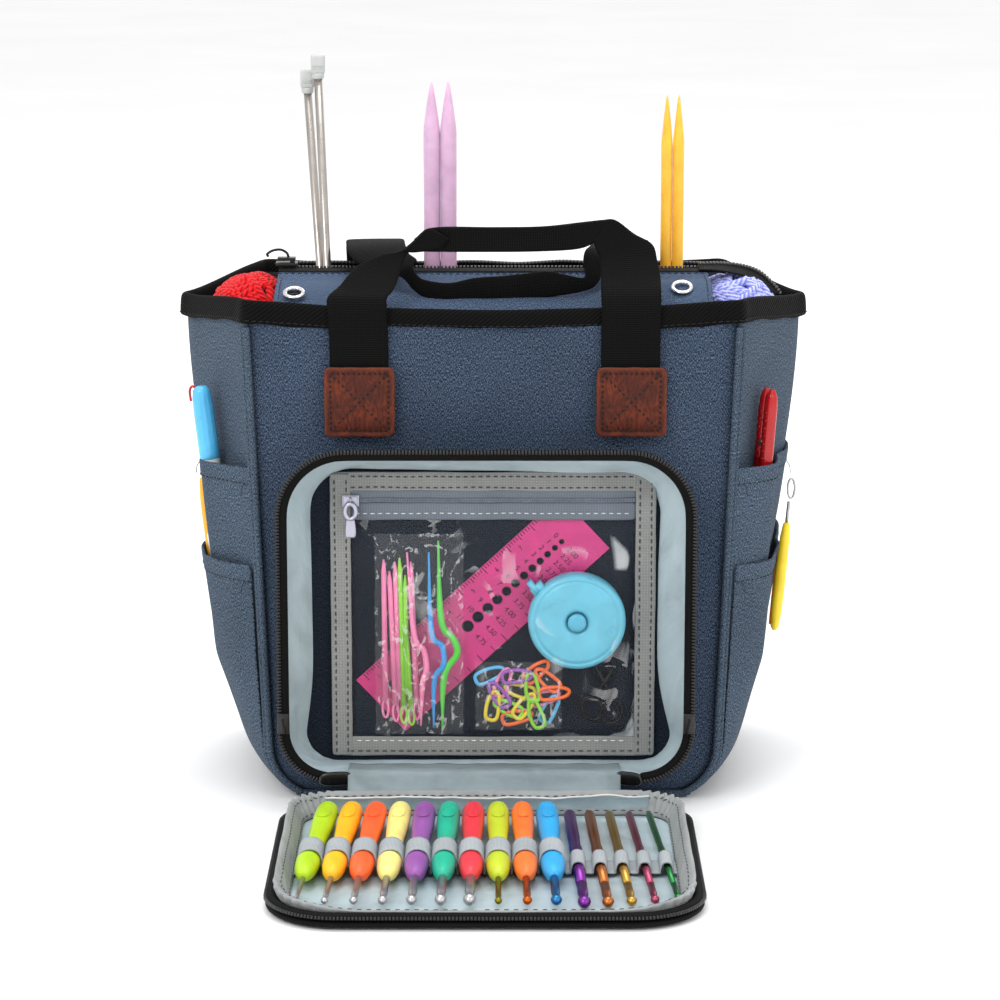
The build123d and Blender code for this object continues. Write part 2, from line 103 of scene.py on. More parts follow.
class Piece:
    """Collects grids, tubes and blocks, and builds one mesh object."""

    def __init__(self, name, *materials):
        self.name, self.materials = name, materials
        self.verts, self.faces, self.uvs, self.slots = [], [], [], []

    def grid(self, rows, closed=False, slot=0):
        """A sheet of quads through rows of points; its UVs are metres along and across."""
        pts = np.array(rows, float)
        base, n = len(self.verts), pts.shape[1]
        ring = np.concatenate([pts, pts[:, :1]], axis=1) if closed else pts
        step = np.linalg.norm(np.diff(ring, axis=1), axis=2)
        u = np.concatenate([np.zeros((len(pts), 1)), np.cumsum(step, axis=1)], axis=1)
        u = (u - u[:, -1:] / 2) * MM
        rise = np.linalg.norm(np.diff(pts, axis=0), axis=2).mean(axis=1)
        v = np.concatenate([[0], np.cumsum(rise)]) * MM
        self.verts.extend(map(tuple, pts.reshape(-1, 3)))
        for r in range(len(pts) - 1):
            for c in range(n if closed else n - 1):
                a, b = base + r * n, (c + 1) % n
                self.faces.append((a + c, a + b, a + n + b, a + n + c))
                self.uvs += [(u[r, c], v[r]), (u[r, c + 1], v[r]),
                             (u[r + 1, c + 1], v[r + 1]), (u[r + 1, c], v[r + 1])]
                self.slots.append(slot)
        return self

    def fan(self, ring, slot=0):
        """Closes a ring of points with triangles to their middle."""
        pts = [Vector(p) for p in ring]
        middle = sum(pts, Vector()) / len(pts)
        base = len(self.verts)
        self.verts += [tuple(p) for p in pts] + [tuple(middle)]
        for i in range(len(pts)):
            j = (i + 1) % len(pts)
            self.faces.append((base + i, base + j, base + len(pts)))
            for p in (pts[i], pts[j], middle):
                d = p - middle
                self.uvs.append(((d.x + d.y * 0.3) * MM, (d.z + d.y) * MM))
            self.slots.append(slot)
        return self

    def flat_uvs(self, across, along, origin=(0, 0)):
        """UVs in metres, looking straight at two of the axes."""
        self.uvs = [((self.verts[v][across] - origin[0]) * MM, (self.verts[v][along] - origin[1]) * MM)
                    for face in self.faces for v in face]

    def tube(self, points, radius, sides=10, slot=0, flat=1.0, loop=False):
        """A round or flattened cord through points, closed into a ring where loop is set."""
        pts = [Vector(p) for p in points]
        n = len(pts)
        radii = list(radius) if hasattr(radius, "__len__") else [radius] * n
        normal = Vector((0, 0, 1))
        rows = []
        for i in range(n):
            ahead = pts[(i + 1) % n] if loop else pts[min(i + 1, n - 1)]
            behind = pts[i - 1] if loop or i else pts[0]
            t = (ahead - behind).normalized()
            if abs(t.dot(normal.normalized())) > 0.98:
                normal = Vector((1, 0.2, 0))
            normal = (normal - t * normal.dot(t)).normalized()
            side = t.cross(normal)
            rows.append([pts[i] + (normal * math.cos(a) * flat + side * math.sin(a)) * radii[i]
                         for a in angles(sides)])
        if loop:
            rows.append(rows[0])
        self.grid(rows, closed=True, slot=slot)
        if not loop:
            self.fan(rows[0], slot).fan(rows[-1], slot)
        return self

    def sleeve(self, rows):
        """A closed section drawn along an open line, shut at both ends."""
        self.grid(rows + [rows[0]])
        for end in (0, -1):
            self.fan([row[end] for row in rows])

    def lathe(self, start, toward, profile, sides=20, slot=0):
        """Turns (distance, radius) pairs about the line from start toward a point."""
        a = Vector(start)
        axis = (Vector(toward) - a).normalized()
        u = axis.orthogonal().normalized()
        v = axis.cross(u)
        rows = [[a + axis * d + (u * math.cos(t) + v * math.sin(t)) * r for t in angles(sides)]
                for d, r in profile]
        return self.grid(rows, closed=True, slot=slot).fan(rows[0], slot).fan(rows[-1], slot)

    def block(self, centre, x, y, z, slot=0):
        c, x, y, z = Vector(centre), Vector(x), Vector(y), Vector(z)
        rows = [[c + x * a + y * b + z * s for a, b in ((-1, -1), (1, -1), (1, 1), (-1, 1))]
                for s in (-1, 1)]
        return self.grid(rows, closed=True, slot=slot).fan(rows[0], slot).fan(rows[1], slot)

    def stitches(self, path, length=2.2, gap=1.3, radius=0.32, slot=0, start=0.0):
        """Short thread dashes along a polyline."""
        at, end = along(path)
        s = start
        while s + length <= end:
            self.tube([at(s), at(s + 0.25 * length), at(s + 0.75 * length), at(s + length)],
                      [radius * 0.4, radius, radius, radius * 0.4], sides=5, slot=slot)
            s += length + gap
        return self

    def teeth(self, path, out, pitch=1.7, size=(0.55, 0.95, 0.6), slot=0):
        """Zip teeth along a polyline; out(point) gives the way they point."""
        at, end = along(path)
        for s in np.arange(pitch / 2, end, pitch):
            p = at(s)
            step = at(s + 0.2) - p
            ahead = step.normalized() if step.length > 1e-6 else Vector((1, 0, 0))
            o = Vector(out(p)).normalized()
            o = (o - ahead * o.dot(ahead)).normalized()
            self.block(p, ahead * size[0], o * size[1], ahead.cross(o) * size[2], slot)
        return self

    def build(self, body=None, replaces=(), slot=None, solid=0.0, subdiv=0, bevel=0.0):
        """Makes the mesh object, with its thickness, rounding and smoothing, and gives it to a body."""
        mesh = bpy.data.meshes.new(self.name)
        mesh.from_pydata((np.array([tuple(v) for v in self.verts]) * MM).tolist(), [], self.faces)
        layer = mesh.uv_layers.new(name="cloth")
        layer.data.foreach_set("uv", np.array(self.uvs, np.float32).ravel())
        mesh.polygons.foreach_set("material_index", self.slots)
        mesh.polygons.foreach_set("use_smooth", [True] * len(self.faces))
        for m in self.materials:
            mesh.materials.append(m)
        bm = bmesh.new()
        bm.from_mesh(mesh)
        bmesh.ops.remove_doubles(bm, verts=bm.verts, dist=2e-6)
        bmesh.ops.recalc_face_normals(bm, faces=bm.faces)
        bm.to_mesh(mesh)
        bm.free()
        obj = bpy.data.objects.new(self.name, mesh)
        bpy.context.scene.collection.objects.link(obj)
        if solid:
            mod = obj.modifiers.new("thickness", "SOLIDIFY")
            mod.thickness, mod.offset = solid * MM, 0
        if bevel:
            mod = obj.modifiers.new("rounding", "BEVEL")
            mod.width, mod.segments, mod.limit_method = bevel * MM, 2, "ANGLE"
        if subdiv:
            mod = obj.modifiers.new("smoothing", "SUBSURF")
            mod.levels = mod.render_levels = subdiv
        if body:
            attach(obj, body)
        if replaces:
            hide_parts(*([replaces] if isinstance(replaces, str) else replaces))
        return obj


def ribbon(stations, across=7, per=4, camber=0.0):
    """Rows of points between two edge curves; stations are (left point, right point)."""
    flat = spline([np.concatenate([np.array(a, float), np.array(b, float)]) for a, b in stations], per)
    rows = []
    for s in flat:
        a, b = s[:3], s[3:]
        rows.append([a + (b - a) * k / (across - 1) for k in range(across)])
    if camber:
        for i, row in enumerate(rows):
            t = rows[min(i + 1, len(rows) - 1)][0] - rows[max(i - 1, 0)][0]
            n = np.cross(t, row[-1] - row[0])
            n = n / (np.linalg.norm(n) + 1e-9)
            for k in range(across):
                row[k] = row[k] + n * camber * (1 - (2 * k / (across - 1) - 1) ** 2)
    return rows


# ---------------------------------------------------------------- materials
def rgb(r, g, b):
    """Linear colour from display values 0 to 255."""
    return (tuple(((c / 255 + 0.055) / 1.055) ** 2.4 if c > 10 else c / 255 / 12.92 for c in (r, g, b))
            + (1.0,))


class Paint:
    """A procedural material and the nodes behind it."""

    def __init__(self, name, roughness=0.6, metallic=0.0, space="UV", **fixed):
        self.material = bpy.data.materials.new(name)
        self.material.use_nodes = True
        self.tree = self.material.node_tree
        self.shader = self.tree.nodes["Principled BSDF"]
        self.shader.inputs["Roughness"].default_value = roughness
        self.shader.inputs["Metallic"].default_value = metallic
        for key, value in fixed.items():
            self.shader.inputs[key.replace("_", " ")].default_value = value
        self.place = self.tree.nodes.new("ShaderNodeTexCoord").outputs[space]

    def put(self, socket, value):
        if isinstance(value, bpy.types.NodeSocket):
            self.tree.links.new(value, socket)
        else:
            socket.default_value = value

    def math(self, operation, a, b=0.0, clamp=False):
        n = self.tree.nodes.new("ShaderNodeMath")
        n.operation, n.use_clamp = operation, clamp
        self.put(n.inputs[0], a)
        self.put(n.inputs[1], b)
        return n.outputs[0]

    def scaled(self, factors):
        """The texture coordinate, stretched along each axis."""
        n = self.tree.nodes.new("ShaderNodeVectorMath")
        n.operation = "MULTIPLY"
        self.put(n.inputs[0], self.place)
        n.inputs[1].default_value = factors
        return n.outputs[0]

    def noise(self, scale, detail=2.0, vector=None, distortion=0.0):
        n = self.tree.nodes.new("ShaderNodeTexNoise")
        self.put(n.inputs["Vector"], vector or self.place)
        n.inputs["Scale"].default_value = scale
        n.inputs["Detail"].default_value = detail
        n.inputs["Distortion"].default_value = distortion
        return n.outputs[0]

    def cells(self, scale):
        n = self.tree.nodes.new("ShaderNodeTexVoronoi")
        self.put(n.inputs["Vector"], self.place)
        n.inputs["Scale"].default_value = scale
        return n.outputs["Distance"]

    def axis(self, letter):
        n = self.tree.nodes.new("ShaderNodeSeparateXYZ")
        self.put(n.inputs[0], self.place)
        return n.outputs[letter]

    def mix(self, *shares):
        """Sum of (weight, value) pairs."""
        total = None
        for weight, value in shares:
            part = value if weight == 1 else self.math("MULTIPLY", value, weight)
            total = part if total is None else self.math("ADD", total, part)
        return total

    def wave(self, coordinate, period):
        """A 0 to 1 wave along a coordinate, period in metres."""
        turned = self.math("SINE", self.math("MULTIPLY", coordinate, 2 * math.pi / period))
        return self.math("ADD", self.math("MULTIPLY", turned, 0.5), 0.5)

    def ramp(self, value, stops):
        n = self.tree.nodes.new("ShaderNodeValToRGB")
        while len(n.color_ramp.elements) < len(stops):
            n.color_ramp.elements.new(0.5)
        for element, (place, colour) in zip(n.color_ramp.elements, stops):
            element.position, element.color = place, colour
        self.put(n.inputs[0], value)
        return n.outputs[0]

    def tint(self, colour, amount):
        """Colour times a number."""
        n = self.tree.nodes.new("ShaderNodeVectorMath")
        n.operation = "SCALE"
        self.put(n.inputs[0], colour)
        self.put(n.inputs["Scale"], amount)
        return n.outputs[0]

    def finish(self, colour, height=None, distance=0.3, strength=0.6, rough=None):
        self.put(self.shader.inputs["Base Color"], colour)
        if height is not None:
            n = self.tree.nodes.new("ShaderNodeBump")
            n.inputs["Strength"].default_value = strength
            n.inputs["Distance"].default_value = distance * MM
            self.put(n.inputs["Height"], height)
            self.tree.links.new(n.outputs[0], self.shader.inputs["Normal"])
        if rough is not None:
            self.put(self.shader.inputs["Roughness"], rough)
        return self.material

    def span(self, value, low, high):
        """Maps 0..1 to low..high."""
        return self.math("ADD", self.math("MULTIPLY", value, high - low), low)


def shade(colour, factor):
    """A colour made darker or lighter."""
    return tuple(min(1.0, c * factor) for c in colour[:3]) + (1.0,)


def melange(name, dark, mid, light):
    """Two-tone polyester canvas: fine warp and weft yarns, each dyed a little differently."""
    p = Paint(name, roughness=0.9, Sheen_Weight=0.03, Specular_IOR_Level=0.12)
    warp = p.noise(1.0, 1, p.scaled((3600, 900, 1)))
    weft = p.noise(1.0, 1, p.scaled((900, 3600, 1)))
    speck = p.noise(2800, 1)
    mixed = p.mix((0.5, warp), (0.2, weft), (0.3, speck))
    cloudy = p.noise(16, 3)
    colour = p.ramp(mixed, [(0.4, dark), (0.5, mid), (0.6, light)])
    weave = p.math("MULTIPLY", p.wave(p.axis("X"), 0.0009), p.wave(p.axis("Y"), 0.0009))
    height = p.mix((1, mixed), (0.3, weave))
    return p.finish(p.tint(colour, p.span(cloudy, 0.72, 1.28)), height, 0.5, 0.55, p.span(speck, 0.8, 1.0))


def ribbed(name, dark, light, run=1.15, across=1.5, rough=0.75, sheen=0.03, bump=0.5, shine=0.15):
    """Woven tape: fine ribs across its run and lengthwise cords, with painted glints on the raised knots."""
    p = Paint(name, roughness=rough, Sheen_Weight=sheen, Specular_IOR_Level=shine)
    rows, cords = p.wave(p.axis("Y"), run * MM), p.wave(p.axis("X"), across * MM)
    knots = p.math("MULTIPLY", rows, cords)
    height = p.mix((0.4, rows), (0.6, knots))
    fuzz = p.noise(900, 2)
    mixed = p.math("MULTIPLY", height, p.span(fuzz, 0.3, 1.5), clamp=True)
    cloudy = p.noise(30, 2)
    # The raised ribs and knots are painted lighter than the hollows: painted glints on the peaks, broken up
    # by yarn fuzz.
    colour = p.tint(p.ramp(mixed, [(0.1, dark), (0.85, light)]), p.span(cloudy, 0.75, 1.25))
    return p.finish(colour, p.mix((1, height), (0.3, fuzz)), 0.35, bump,
                    p.span(fuzz, rough - 0.12, rough + 0.15))


def twill(name, dark, light):
    """Binding tape with slanting ridges."""
    p = Paint(name, roughness=0.75, Specular_IOR_Level=0.1)
    slant = p.mix((1, p.axis("X")), (0.8, p.axis("Y")))
    ridge = p.wave(slant, 0.0022)
    fuzz = p.noise(1000, 2)
    mixed = p.math("MULTIPLY", ridge, p.span(fuzz, 0.2, 1.5), clamp=True)
    return p.finish(p.ramp(mixed, [(0.25, dark), (0.95, light)]), ridge, 0.5, 0.7, p.span(fuzz, 0.6, 0.85))


def satin(name, colour, rough=0.45, crease=0.5):
    """Thin coated lining cloth, softly creased."""
    p = Paint(name, roughness=rough, Sheen_Weight=0.05, Specular_IOR_Level=0.3)
    broad, sharp = p.noise(45, 3, distortion=0.8), p.noise(160, 4, distortion=1.2)
    weave = p.math("MULTIPLY", p.wave(p.axis("X"), 0.0007), p.wave(p.axis("Y"), 0.0007))
    height = p.mix((1, broad), (0.35, sharp), (0.04, weave))
    tone = p.ramp(broad, [(0.3, shade(colour, 0.82)), (0.5, colour), (0.7, shade(colour, 1.1))])
    return p.finish(tone, height, 2.2, crease, p.span(sharp, rough - 0.1, rough + 0.15))


def leather(name):
    """Brown leather with pebbled grain, paler towards the patch's edges."""
    p = Paint(name, roughness=0.45, Specular_IOR_Level=0.25)
    grain, folds = p.cells(900), p.noise(1.0, 3, p.scaled((420, 150, 1)), 1.5)
    broad = p.noise(70, 3)
    x, y = p.math("ABSOLUTE", p.axis("X")), p.math("ABSOLUTE", p.axis("Y"))
    edge = p.math("MAXIMUM", x, y)
    # The colour blends towards a paler brown over a band at the patch's edges.
    pale_edge = p.math("DIVIDE", p.math("SUBTRACT", edge, 0.0155), 0.0028, clamp=True)
    mixed = p.mix((0.6, folds), (0.4, broad))
    colour = p.ramp(mixed, [(0.34, rgb(46, 12, 4)), (0.5, rgb(74, 24, 7)), (0.66, rgb(108, 42, 16))])
    mix = p.tree.nodes.new("ShaderNodeMixRGB")
    p.put(mix.inputs[0], p.math("MULTIPLY", pale_edge, 0.6))
    p.put(mix.inputs[1], colour)
    mix.inputs[2].default_value = rgb(122, 58, 30)
    height = p.mix((0.5, grain), (1, folds))
    return p.finish(mix.outputs[0], height, 0.35, 0.6, p.span(broad, 0.38, 0.62))


def plastic(name, colour, rough=0.3, subsurface=0.0, **fixed):
    """Moulded plastic with slight flow marks, dust and handling wear."""
    p = Paint(name, roughness=rough, space="Object", **fixed)
    if subsurface:
        p.shader.inputs["Subsurface Weight"].default_value = subsurface
        p.shader.inputs["Subsurface Scale"].default_value = 0.004
    flow, dust = p.noise(90, 3, distortion=0.5), p.noise(1400, 2)
    tone = p.ramp(flow, [(0.3, shade(colour, 0.88)), (0.55, colour), (0.75, shade(colour, 1.08))])
    height = p.mix((0.4, dust), (1, flow))
    return p.finish(tone, height, 0.12, 0.35, p.span(flow, rough * 0.8, rough * 1.35))


def metal(name, colour, rough=0.22):
    """Drawn metal: fine turning marks and faint smudges."""
    p = Paint(name, roughness=rough, metallic=1.0)
    lines = p.noise(1.0, 2, p.scaled((300, 5200, 1)))
    smudge = p.noise(60, 3)
    tone = p.ramp(smudge, [(0.3, shade(colour, 0.85)), (0.6, colour)])
    return p.finish(tone, lines, 0.05, 0.25, p.span(smudge, rough * 0.7, rough * 1.6))


def wool(name, dark, mid, light):
    """Plied yarn: slanting plies and loose fibres."""
    p = Paint(name, roughness=0.9, Sheen_Weight=0.12, Specular_IOR_Level=0.15)
    slant = p.mix((0.9, p.axis("X")), (1, p.axis("Y")))
    ply, fibre = p.wave(slant, 0.0032), p.noise(1300, 3)
    mixed = p.mix((0.5, ply), (0.5, fibre))
    return p.finish(p.ramp(mixed, [(0.2, dark), (0.5, mid), (0.8, light)]), mixed, 1.0, 0.8,
                    p.span(fibre, 0.75, 1.0))


def clear(name, base_alpha, painted_glint, scale, rough=0.08, painted_glare=False):
    """Thin clear sheet with painted glints: raised alpha over a white colour along noise crease lines, and,
    where glare is asked for, painted reflection bands near its right edge.
    """
    p = Paint(name, roughness=rough, Specular_IOR_Level=0.3 if painted_glare else 0.7)
    folds = p.noise(scale, 4, p.scaled((1, 0.45, 1)), 1.6)
    fine = p.noise(scale * 5, 3, distortion=1.0)
    crease = p.math("ABSOLUTE", p.math("SUBTRACT", folds, 0.5))
    # Painted glints: the crease lines raise the alpha of the white colour.
    line = p.math("SUBTRACT", 1.0, p.math("MULTIPLY", crease, 30.0), clamp=True)
    line = p.math("MULTIPLY", line, p.math("GREATER_THAN", fine, 0.56 if painted_glare else 0.5))
    alpha = p.mix((painted_glint, line), (1, base_alpha))
    if painted_glare:
        # Painted reflection: noise bands of raised alpha near the sheet's right edge.
        edge = p.math("MULTIPLY", p.math("SUBTRACT", p.axis("X"), 0.0585), 400.0, clamp=True)
        painted_reflection_bands = p.math("MULTIPLY", p.math("SUBTRACT", p.noise(22, 1), 0.57), 40.0, clamp=True)
        alpha = p.math("ADD", alpha, p.math("MULTIPLY", p.math("MULTIPLY", edge, painted_reflection_bands), 0.42))
    p.put(p.shader.inputs["Alpha"], alpha)
    return p.finish(p.ramp(fine, [(0.3, rgb(225, 232, 238)), (0.7, rgb(255, 255, 255))]),
                    folds, 2.0, 0.5, p.span(fine, rough * 0.6, rough * 2))


DENIM = melange("denim", rgb(20, 25, 31), rgb(56, 68, 82), rgb(108, 126, 146))
# Darker copy of the denim for the front panel: painted shade over the panel's middle, under the handles.
SHADED_PANEL_DENIM = melange("panel_denim_painted_shade", rgb(10, 14, 20), rgb(42, 54, 71), rgb(98, 115, 140))
# Very dark copy of the denim: painted shade for the inside of the front pocket.
PAINTED_SHADE_DENIM = melange("pocket_painted_shade_denim", rgb(10, 13, 18), rgb(24, 30, 40), rgb(42, 51, 66))
FLAP_DENIM = melange("flap_denim", rgb(20, 26, 35), rgb(54, 69, 91), rgb(104, 124, 154))
# The woven tapes made by ribbed() carry painted glints on their rib peaks.
WEBBING = ribbed("webbing", rgb(2, 2, 2), rgb(16, 16, 15), 1.15, 1.5, 0.7, 0.0, 0.7, 0.1)
TWILL = twill("binding_twill", rgb(1, 1, 1), rgb(12, 12, 11))
LEATHER = leather("leather")
DARK_THREAD = plastic("dark_thread", rgb(10, 8, 8), 0.8)
PALE_THREAD = plastic("pale_thread", rgb(215, 215, 215), 0.8)
GREY_THREAD = plastic("grey_thread", rgb(70, 72, 76), 0.8)
BLUE_THREAD = plastic("blue_thread", rgb(40, 52, 74), 0.8)
LINING = satin("pale_lining", rgb(176, 194, 200))
HINGE_CLOTH = satin("hinge_lining", rgb(134, 148, 153))
DARK_LINING = satin("inner_lining", rgb(38, 42, 50), 0.6)
GROSGRAIN = ribbed("grosgrain", rgb(128, 129, 127), rgb(158, 159, 157), 0.8, 1.4, 0.85, 0.03, 0.2)
ZIP_BAND = ribbed("window_zip_tape_cloth", rgb(98, 105, 114), rgb(126, 134, 144), 0.8, 0.9, 0.8, 0.03, 0.2)
ZIP_CLOTH = ribbed("zip_cloth", rgb(4, 4, 4), rgb(20, 20, 20), 0.9, 1.0, 0.75, 0.0)
TEETH = plastic("zip_teeth", rgb(20, 19, 18), 0.3)
GREY_COIL = plastic("grey_coil", rgb(112, 118, 132), 0.4)
BORDER = satin("padded_border", rgb(148, 151, 151), 0.6, 0.7)
ELASTIC = ribbed("elastic", rgb(146, 152, 156), rgb(184, 190, 193), 0.6, 0.9, 0.8, 0.0, 0.1)
CHROME = metal("eyelet_metal", rgb(222, 222, 224), 0.14)
STEEL = metal("needle_steel", rgb(176, 170, 164), 0.25)
SILVER = metal("hook_silver", rgb(188, 188, 190), 0.3)
DARK_METAL = metal("dark_metal", rgb(44, 44, 46), 0.3)
# Black fill for the eyelets' holes: painted shade for the dark inside seen through them.
EYELET_HOLE_SHADE = plastic("eyelet_hole_painted_shade", rgb(10, 9, 10), 0.9)
GLOSS_BLACK = plastic("gloss_black", rgb(14, 14, 15), 0.16)
PULL_METAL = metal("pull_metal", rgb(190, 190, 205), 0.38)
# Both clear sheets carry painted glints; the vinyl also carries painted reflection bands.
VINYL = clear("window_vinyl_painted_glints", 0.015, 0.2, 9, painted_glare=True)
FILM = clear("clear_bag_film_painted_glints", 0.04, 0.34, 55)


# ---------------------------------------------------------------- camera, light and floor
CAMERA_PLACE, CAMERA_TILT, CAMERA_LENS = (0.0035, -1.7283, 0.5182), 0.215, 120.47
FLOOR_Z = -0.4


def stage():
    """The photograph's viewing angle, soft studio light and a pale floor."""
    scene = bpy.context.scene
    camera = bpy.data.objects.new("camera", bpy.data.cameras.new("camera"))
    scene.collection.objects.link(camera)
    camera.data.sensor_width, camera.data.lens = 36, CAMERA_LENS
    camera.data.clip_start, camera.data.clip_end = 0.05, 50
    camera.location = CAMERA_PLACE
    camera.rotation_euler = (math.pi / 2 - CAMERA_TILT, 0, 0)
    scene.camera = camera
    scene.view_settings.view_transform = "Standard"

    world = bpy.data.worlds.new("studio")
    world.use_nodes = True
    world.node_tree.nodes["Background"].inputs[0].default_value = (1, 1, 1, 1)
    world.node_tree.nodes["Background"].inputs[1].default_value = 1.02
    scene.world = world
    lamps = [("key", (-1.3, -1.9, 1.9), 1.0, 24), ("fill", (1.7, -1.5, 1.2), 1.2, 8),
             ("top", (0.0, 0.1, 2.2), 1.2, 22), ("back", (0.5, 1.9, 1.6), 1.2, 8)]
    for name, place, size, power in lamps:
        data = bpy.data.lights.new(name, "AREA")
        data.size, data.energy = size, power
        lamp = bpy.data.objects.new(name, data)
        lamp.location = place
        lamp.rotation_euler = (Vector((0, -0.05, 0.15)) - Vector(place)).to_track_quat("-Z", "Y").to_euler()
        scene.collection.objects.link(lamp)
    p = Paint("floor", roughness=0.9, space="Object")
    pale = p.ramp(p.noise(3, 3), [(0.3, rgb(244, 244, 244)), (0.7, rgb(248, 248, 248))])
    p.finish(pale, p.noise(400, 2), 0.1, 0.1)
    floor = Piece("floor", p.material)
    floor.grid([[(x, y, FLOOR_Z) for x in (-6000, 0, 6000)] for y in (-3000, 2000, 9000)])
    floor.build()


stage()

# ---------------------------------------------------------------- the bag's sewn shell
DEPTH = 72.0
PANEL_TOP = 248.0
RIM_Z = 254
SEAM_X, SEAM_SPREAD, FOOT_RADIUS = 114.3, 9.4, 26
CREASE_X, CREASE_TAPER = 161.5, 39


def seam_half(z):
    """Half the front panel's width at height z, rounded in at the foot."""
    straight = SEAM_X + (SEAM_SPREAD / 230) * (z - 30)
    if z >= FOOT_RADIUS:
        return straight
    return straight - FOOT_RADIUS + math.sqrt(max(0.0, FOOT_RADIUS**2 - (FOOT_RADIUS - z) ** 2))


def crease_half(z):
    """Half the bag's width at the gussets' creases."""
    return CREASE_X - CREASE_TAPER * max(0.0, 1 - z / 251) ** 1.6


def front_drop(x, z):
    """How far the rim of the front and back sags, fading out down the panel."""
    return (1 + 5.0 * max(0.0, 1 - (x / 122) ** 2)) * smooth((z - 120) / 128)


PANEL_ZS = [0, 1.5, 4, 7, 11, 15, 20, 26] + [34 + 8 * i for i in range(28)] + [253.5]


def panel_point(t, z, depth, side):
    """A point of the front or back: t runs from -1 to 1 across it."""
    half = seam_half(z)
    x = t * half
    edge = (1 - abs(t)) * half
    tuck = 2.6 * math.exp(-edge / 5) + 2.2 * math.exp(-z / 4)
    free = smooth((z - 150) / 60) * smooth(edge / 25) if side < 0 else smooth(edge / 25)
    sway = 1.7 * ripple(x / 30 + 7 * side, z / 75, 3.1) + 0.8 * ripple(x / 12, z / 50, side)
    folds = 1.1 * math.sin(x / 6.5 + z / 40) * smooth((z - 170) / 60) * smooth((abs(x) - 70) / 30)
    gather = (folds + sway) * free
    return (x, side * (depth - tuck) + gather, z - front_drop(x, z))


def panel(name, side, replaces):
    cols = [math.sin(math.pi / 2 * (k / 26)) for k in range(-26, 27)]
    # The front panel takes the darker denim with painted shade; the back takes the plain denim.
    piece = Piece(name, SHADED_PANEL_DENIM if side < 0 else DENIM, DARK_LINING)
    piece.grid([[panel_point(t, z, DEPTH, side) for t in cols] for z in PANEL_ZS])
    piece.grid([[panel_point(t * 0.985, max(z, 3), DEPTH - 2.8, side) for t in cols]
                for z in PANEL_ZS[2:]], slot=1)
    return piece.build("bag", replaces, "denim")


def side_point(z, t, gap):
    """X and Y on the right gusset's front half, from the seam (t 0) to the crease (t 1)."""
    s, c = seam_half(z), crease_half(z)
    run = math.hypot(c - s, DEPTH)
    nose = smooth((t - 0.86) / 0.14)
    out_x, out_y = DEPTH / run, -(c - s) / run * (1 - nose)
    return s + t * (c - s) + gap * out_x - 1.8 * nose, -DEPTH * (1 - t) + gap * out_y


def gusset_drop(t, z):
    return (1 + 7.0 * smooth(t)) * smooth((z - 150) / 98)


def gusset_point(k, z, gap, side):
    """k runs -1 (front seam) to 0 (fold) to 1 (rear seam)."""
    t = 1 - abs(k)
    bow = (1.6 * math.sin(math.pi * t) * ripple(k * 2.2, z / 60, 5 + side)
           + 1.2 * math.sin(math.pi * t) * (z < 175))
    x, y = side_point(z, t, gap + bow * (1 if gap > -1 else 0.3))
    return (side * x, y if k <= 0 else -y, z - gusset_drop(t, z))


def gusset(side, name, replaces):
    ks = [k / 20 for k in range(-20, 21)]
    piece = Piece(name, DENIM, DARK_LINING)
    piece.grid([[gusset_point(k, z, -0.1, side) for k in ks] for z in PANEL_ZS])
    piece.grid([[gusset_point(k * 0.97, max(z, 3), -2.9, side) for k in ks] for z in PANEL_ZS[2:]], slot=1)
    return piece.build("bag", replaces, "denim")


def base_cover():
    piece = Piece("base_cover", DENIM, DARK_LINING)
    for z, inset, slot in ((0.4, 1.2, 0), (3.0, 3.0, 1)):
        rows = []
        for k in range(-14, 15):
            y = k / 14 * (DEPTH - inset)
            reach = seam_half(0.0) + (crease_half(0.0) - seam_half(0.0)) * (1 - abs(k) / 14)
            rows.append([(t / 18 * (reach - inset), y, z + 0.25 * ripple(t / 3, y / 14))
                         for t in range(-18, 19)])
        piece.grid(rows, slot=slot)
    return piece.build("bag", "base_panel", "denim")


panel("front_cover", -1, "front_panel")
panel("back_cover", 1, "back_panel")
gusset(-1, "left_gusset_cover", "left_gusset")
gusset(1, "right_gusset_cover", "right_gusset")
base_cover()


def card(name, dark, light):
    """Grey card with a fine fibre."""
    p = Paint(name, roughness=0.7, space="Object")
    return p.finish(p.ramp(p.noise(300, 3), [(0.3, dark), (0.7, light)]), p.noise(500, 2), 0.2)


def paint_node(node, material):
    """Gives a CAD node that stays visible its material."""
    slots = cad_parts[node].data.materials
    slots.clear()
    slots.append(material)


paint_node("base_board", card("base_board_card", rgb(22, 22, 22), rgb(46, 46, 46)))


def piping():
    piece = Piece("piping_cord", DENIM)
    zs = [246, 230, 200, 170, 140, 110, 80, 60, 45, 34, 26, 20, 14, 9, 5, 2.6, 1.6]
    for side in (-1, 1):
        for out, y, r in ((0.6, 73.0, 1.75), (2.6, 70.6, 1.5)):
            right = [(seam_half(z) + out, side * y, z - front_drop(seam_half(z), z)) for z in zs]
            left = [(-x, yy, z) for x, yy, z in reversed(right)]
            foot = [(x, side * y, 1.7) for x in (70, 35, 0, -35, -70)]
            piece.tube(spline(right + foot + left, 3), r, sides=8)
    return piece.build("bag", "seam_piping", "denim")


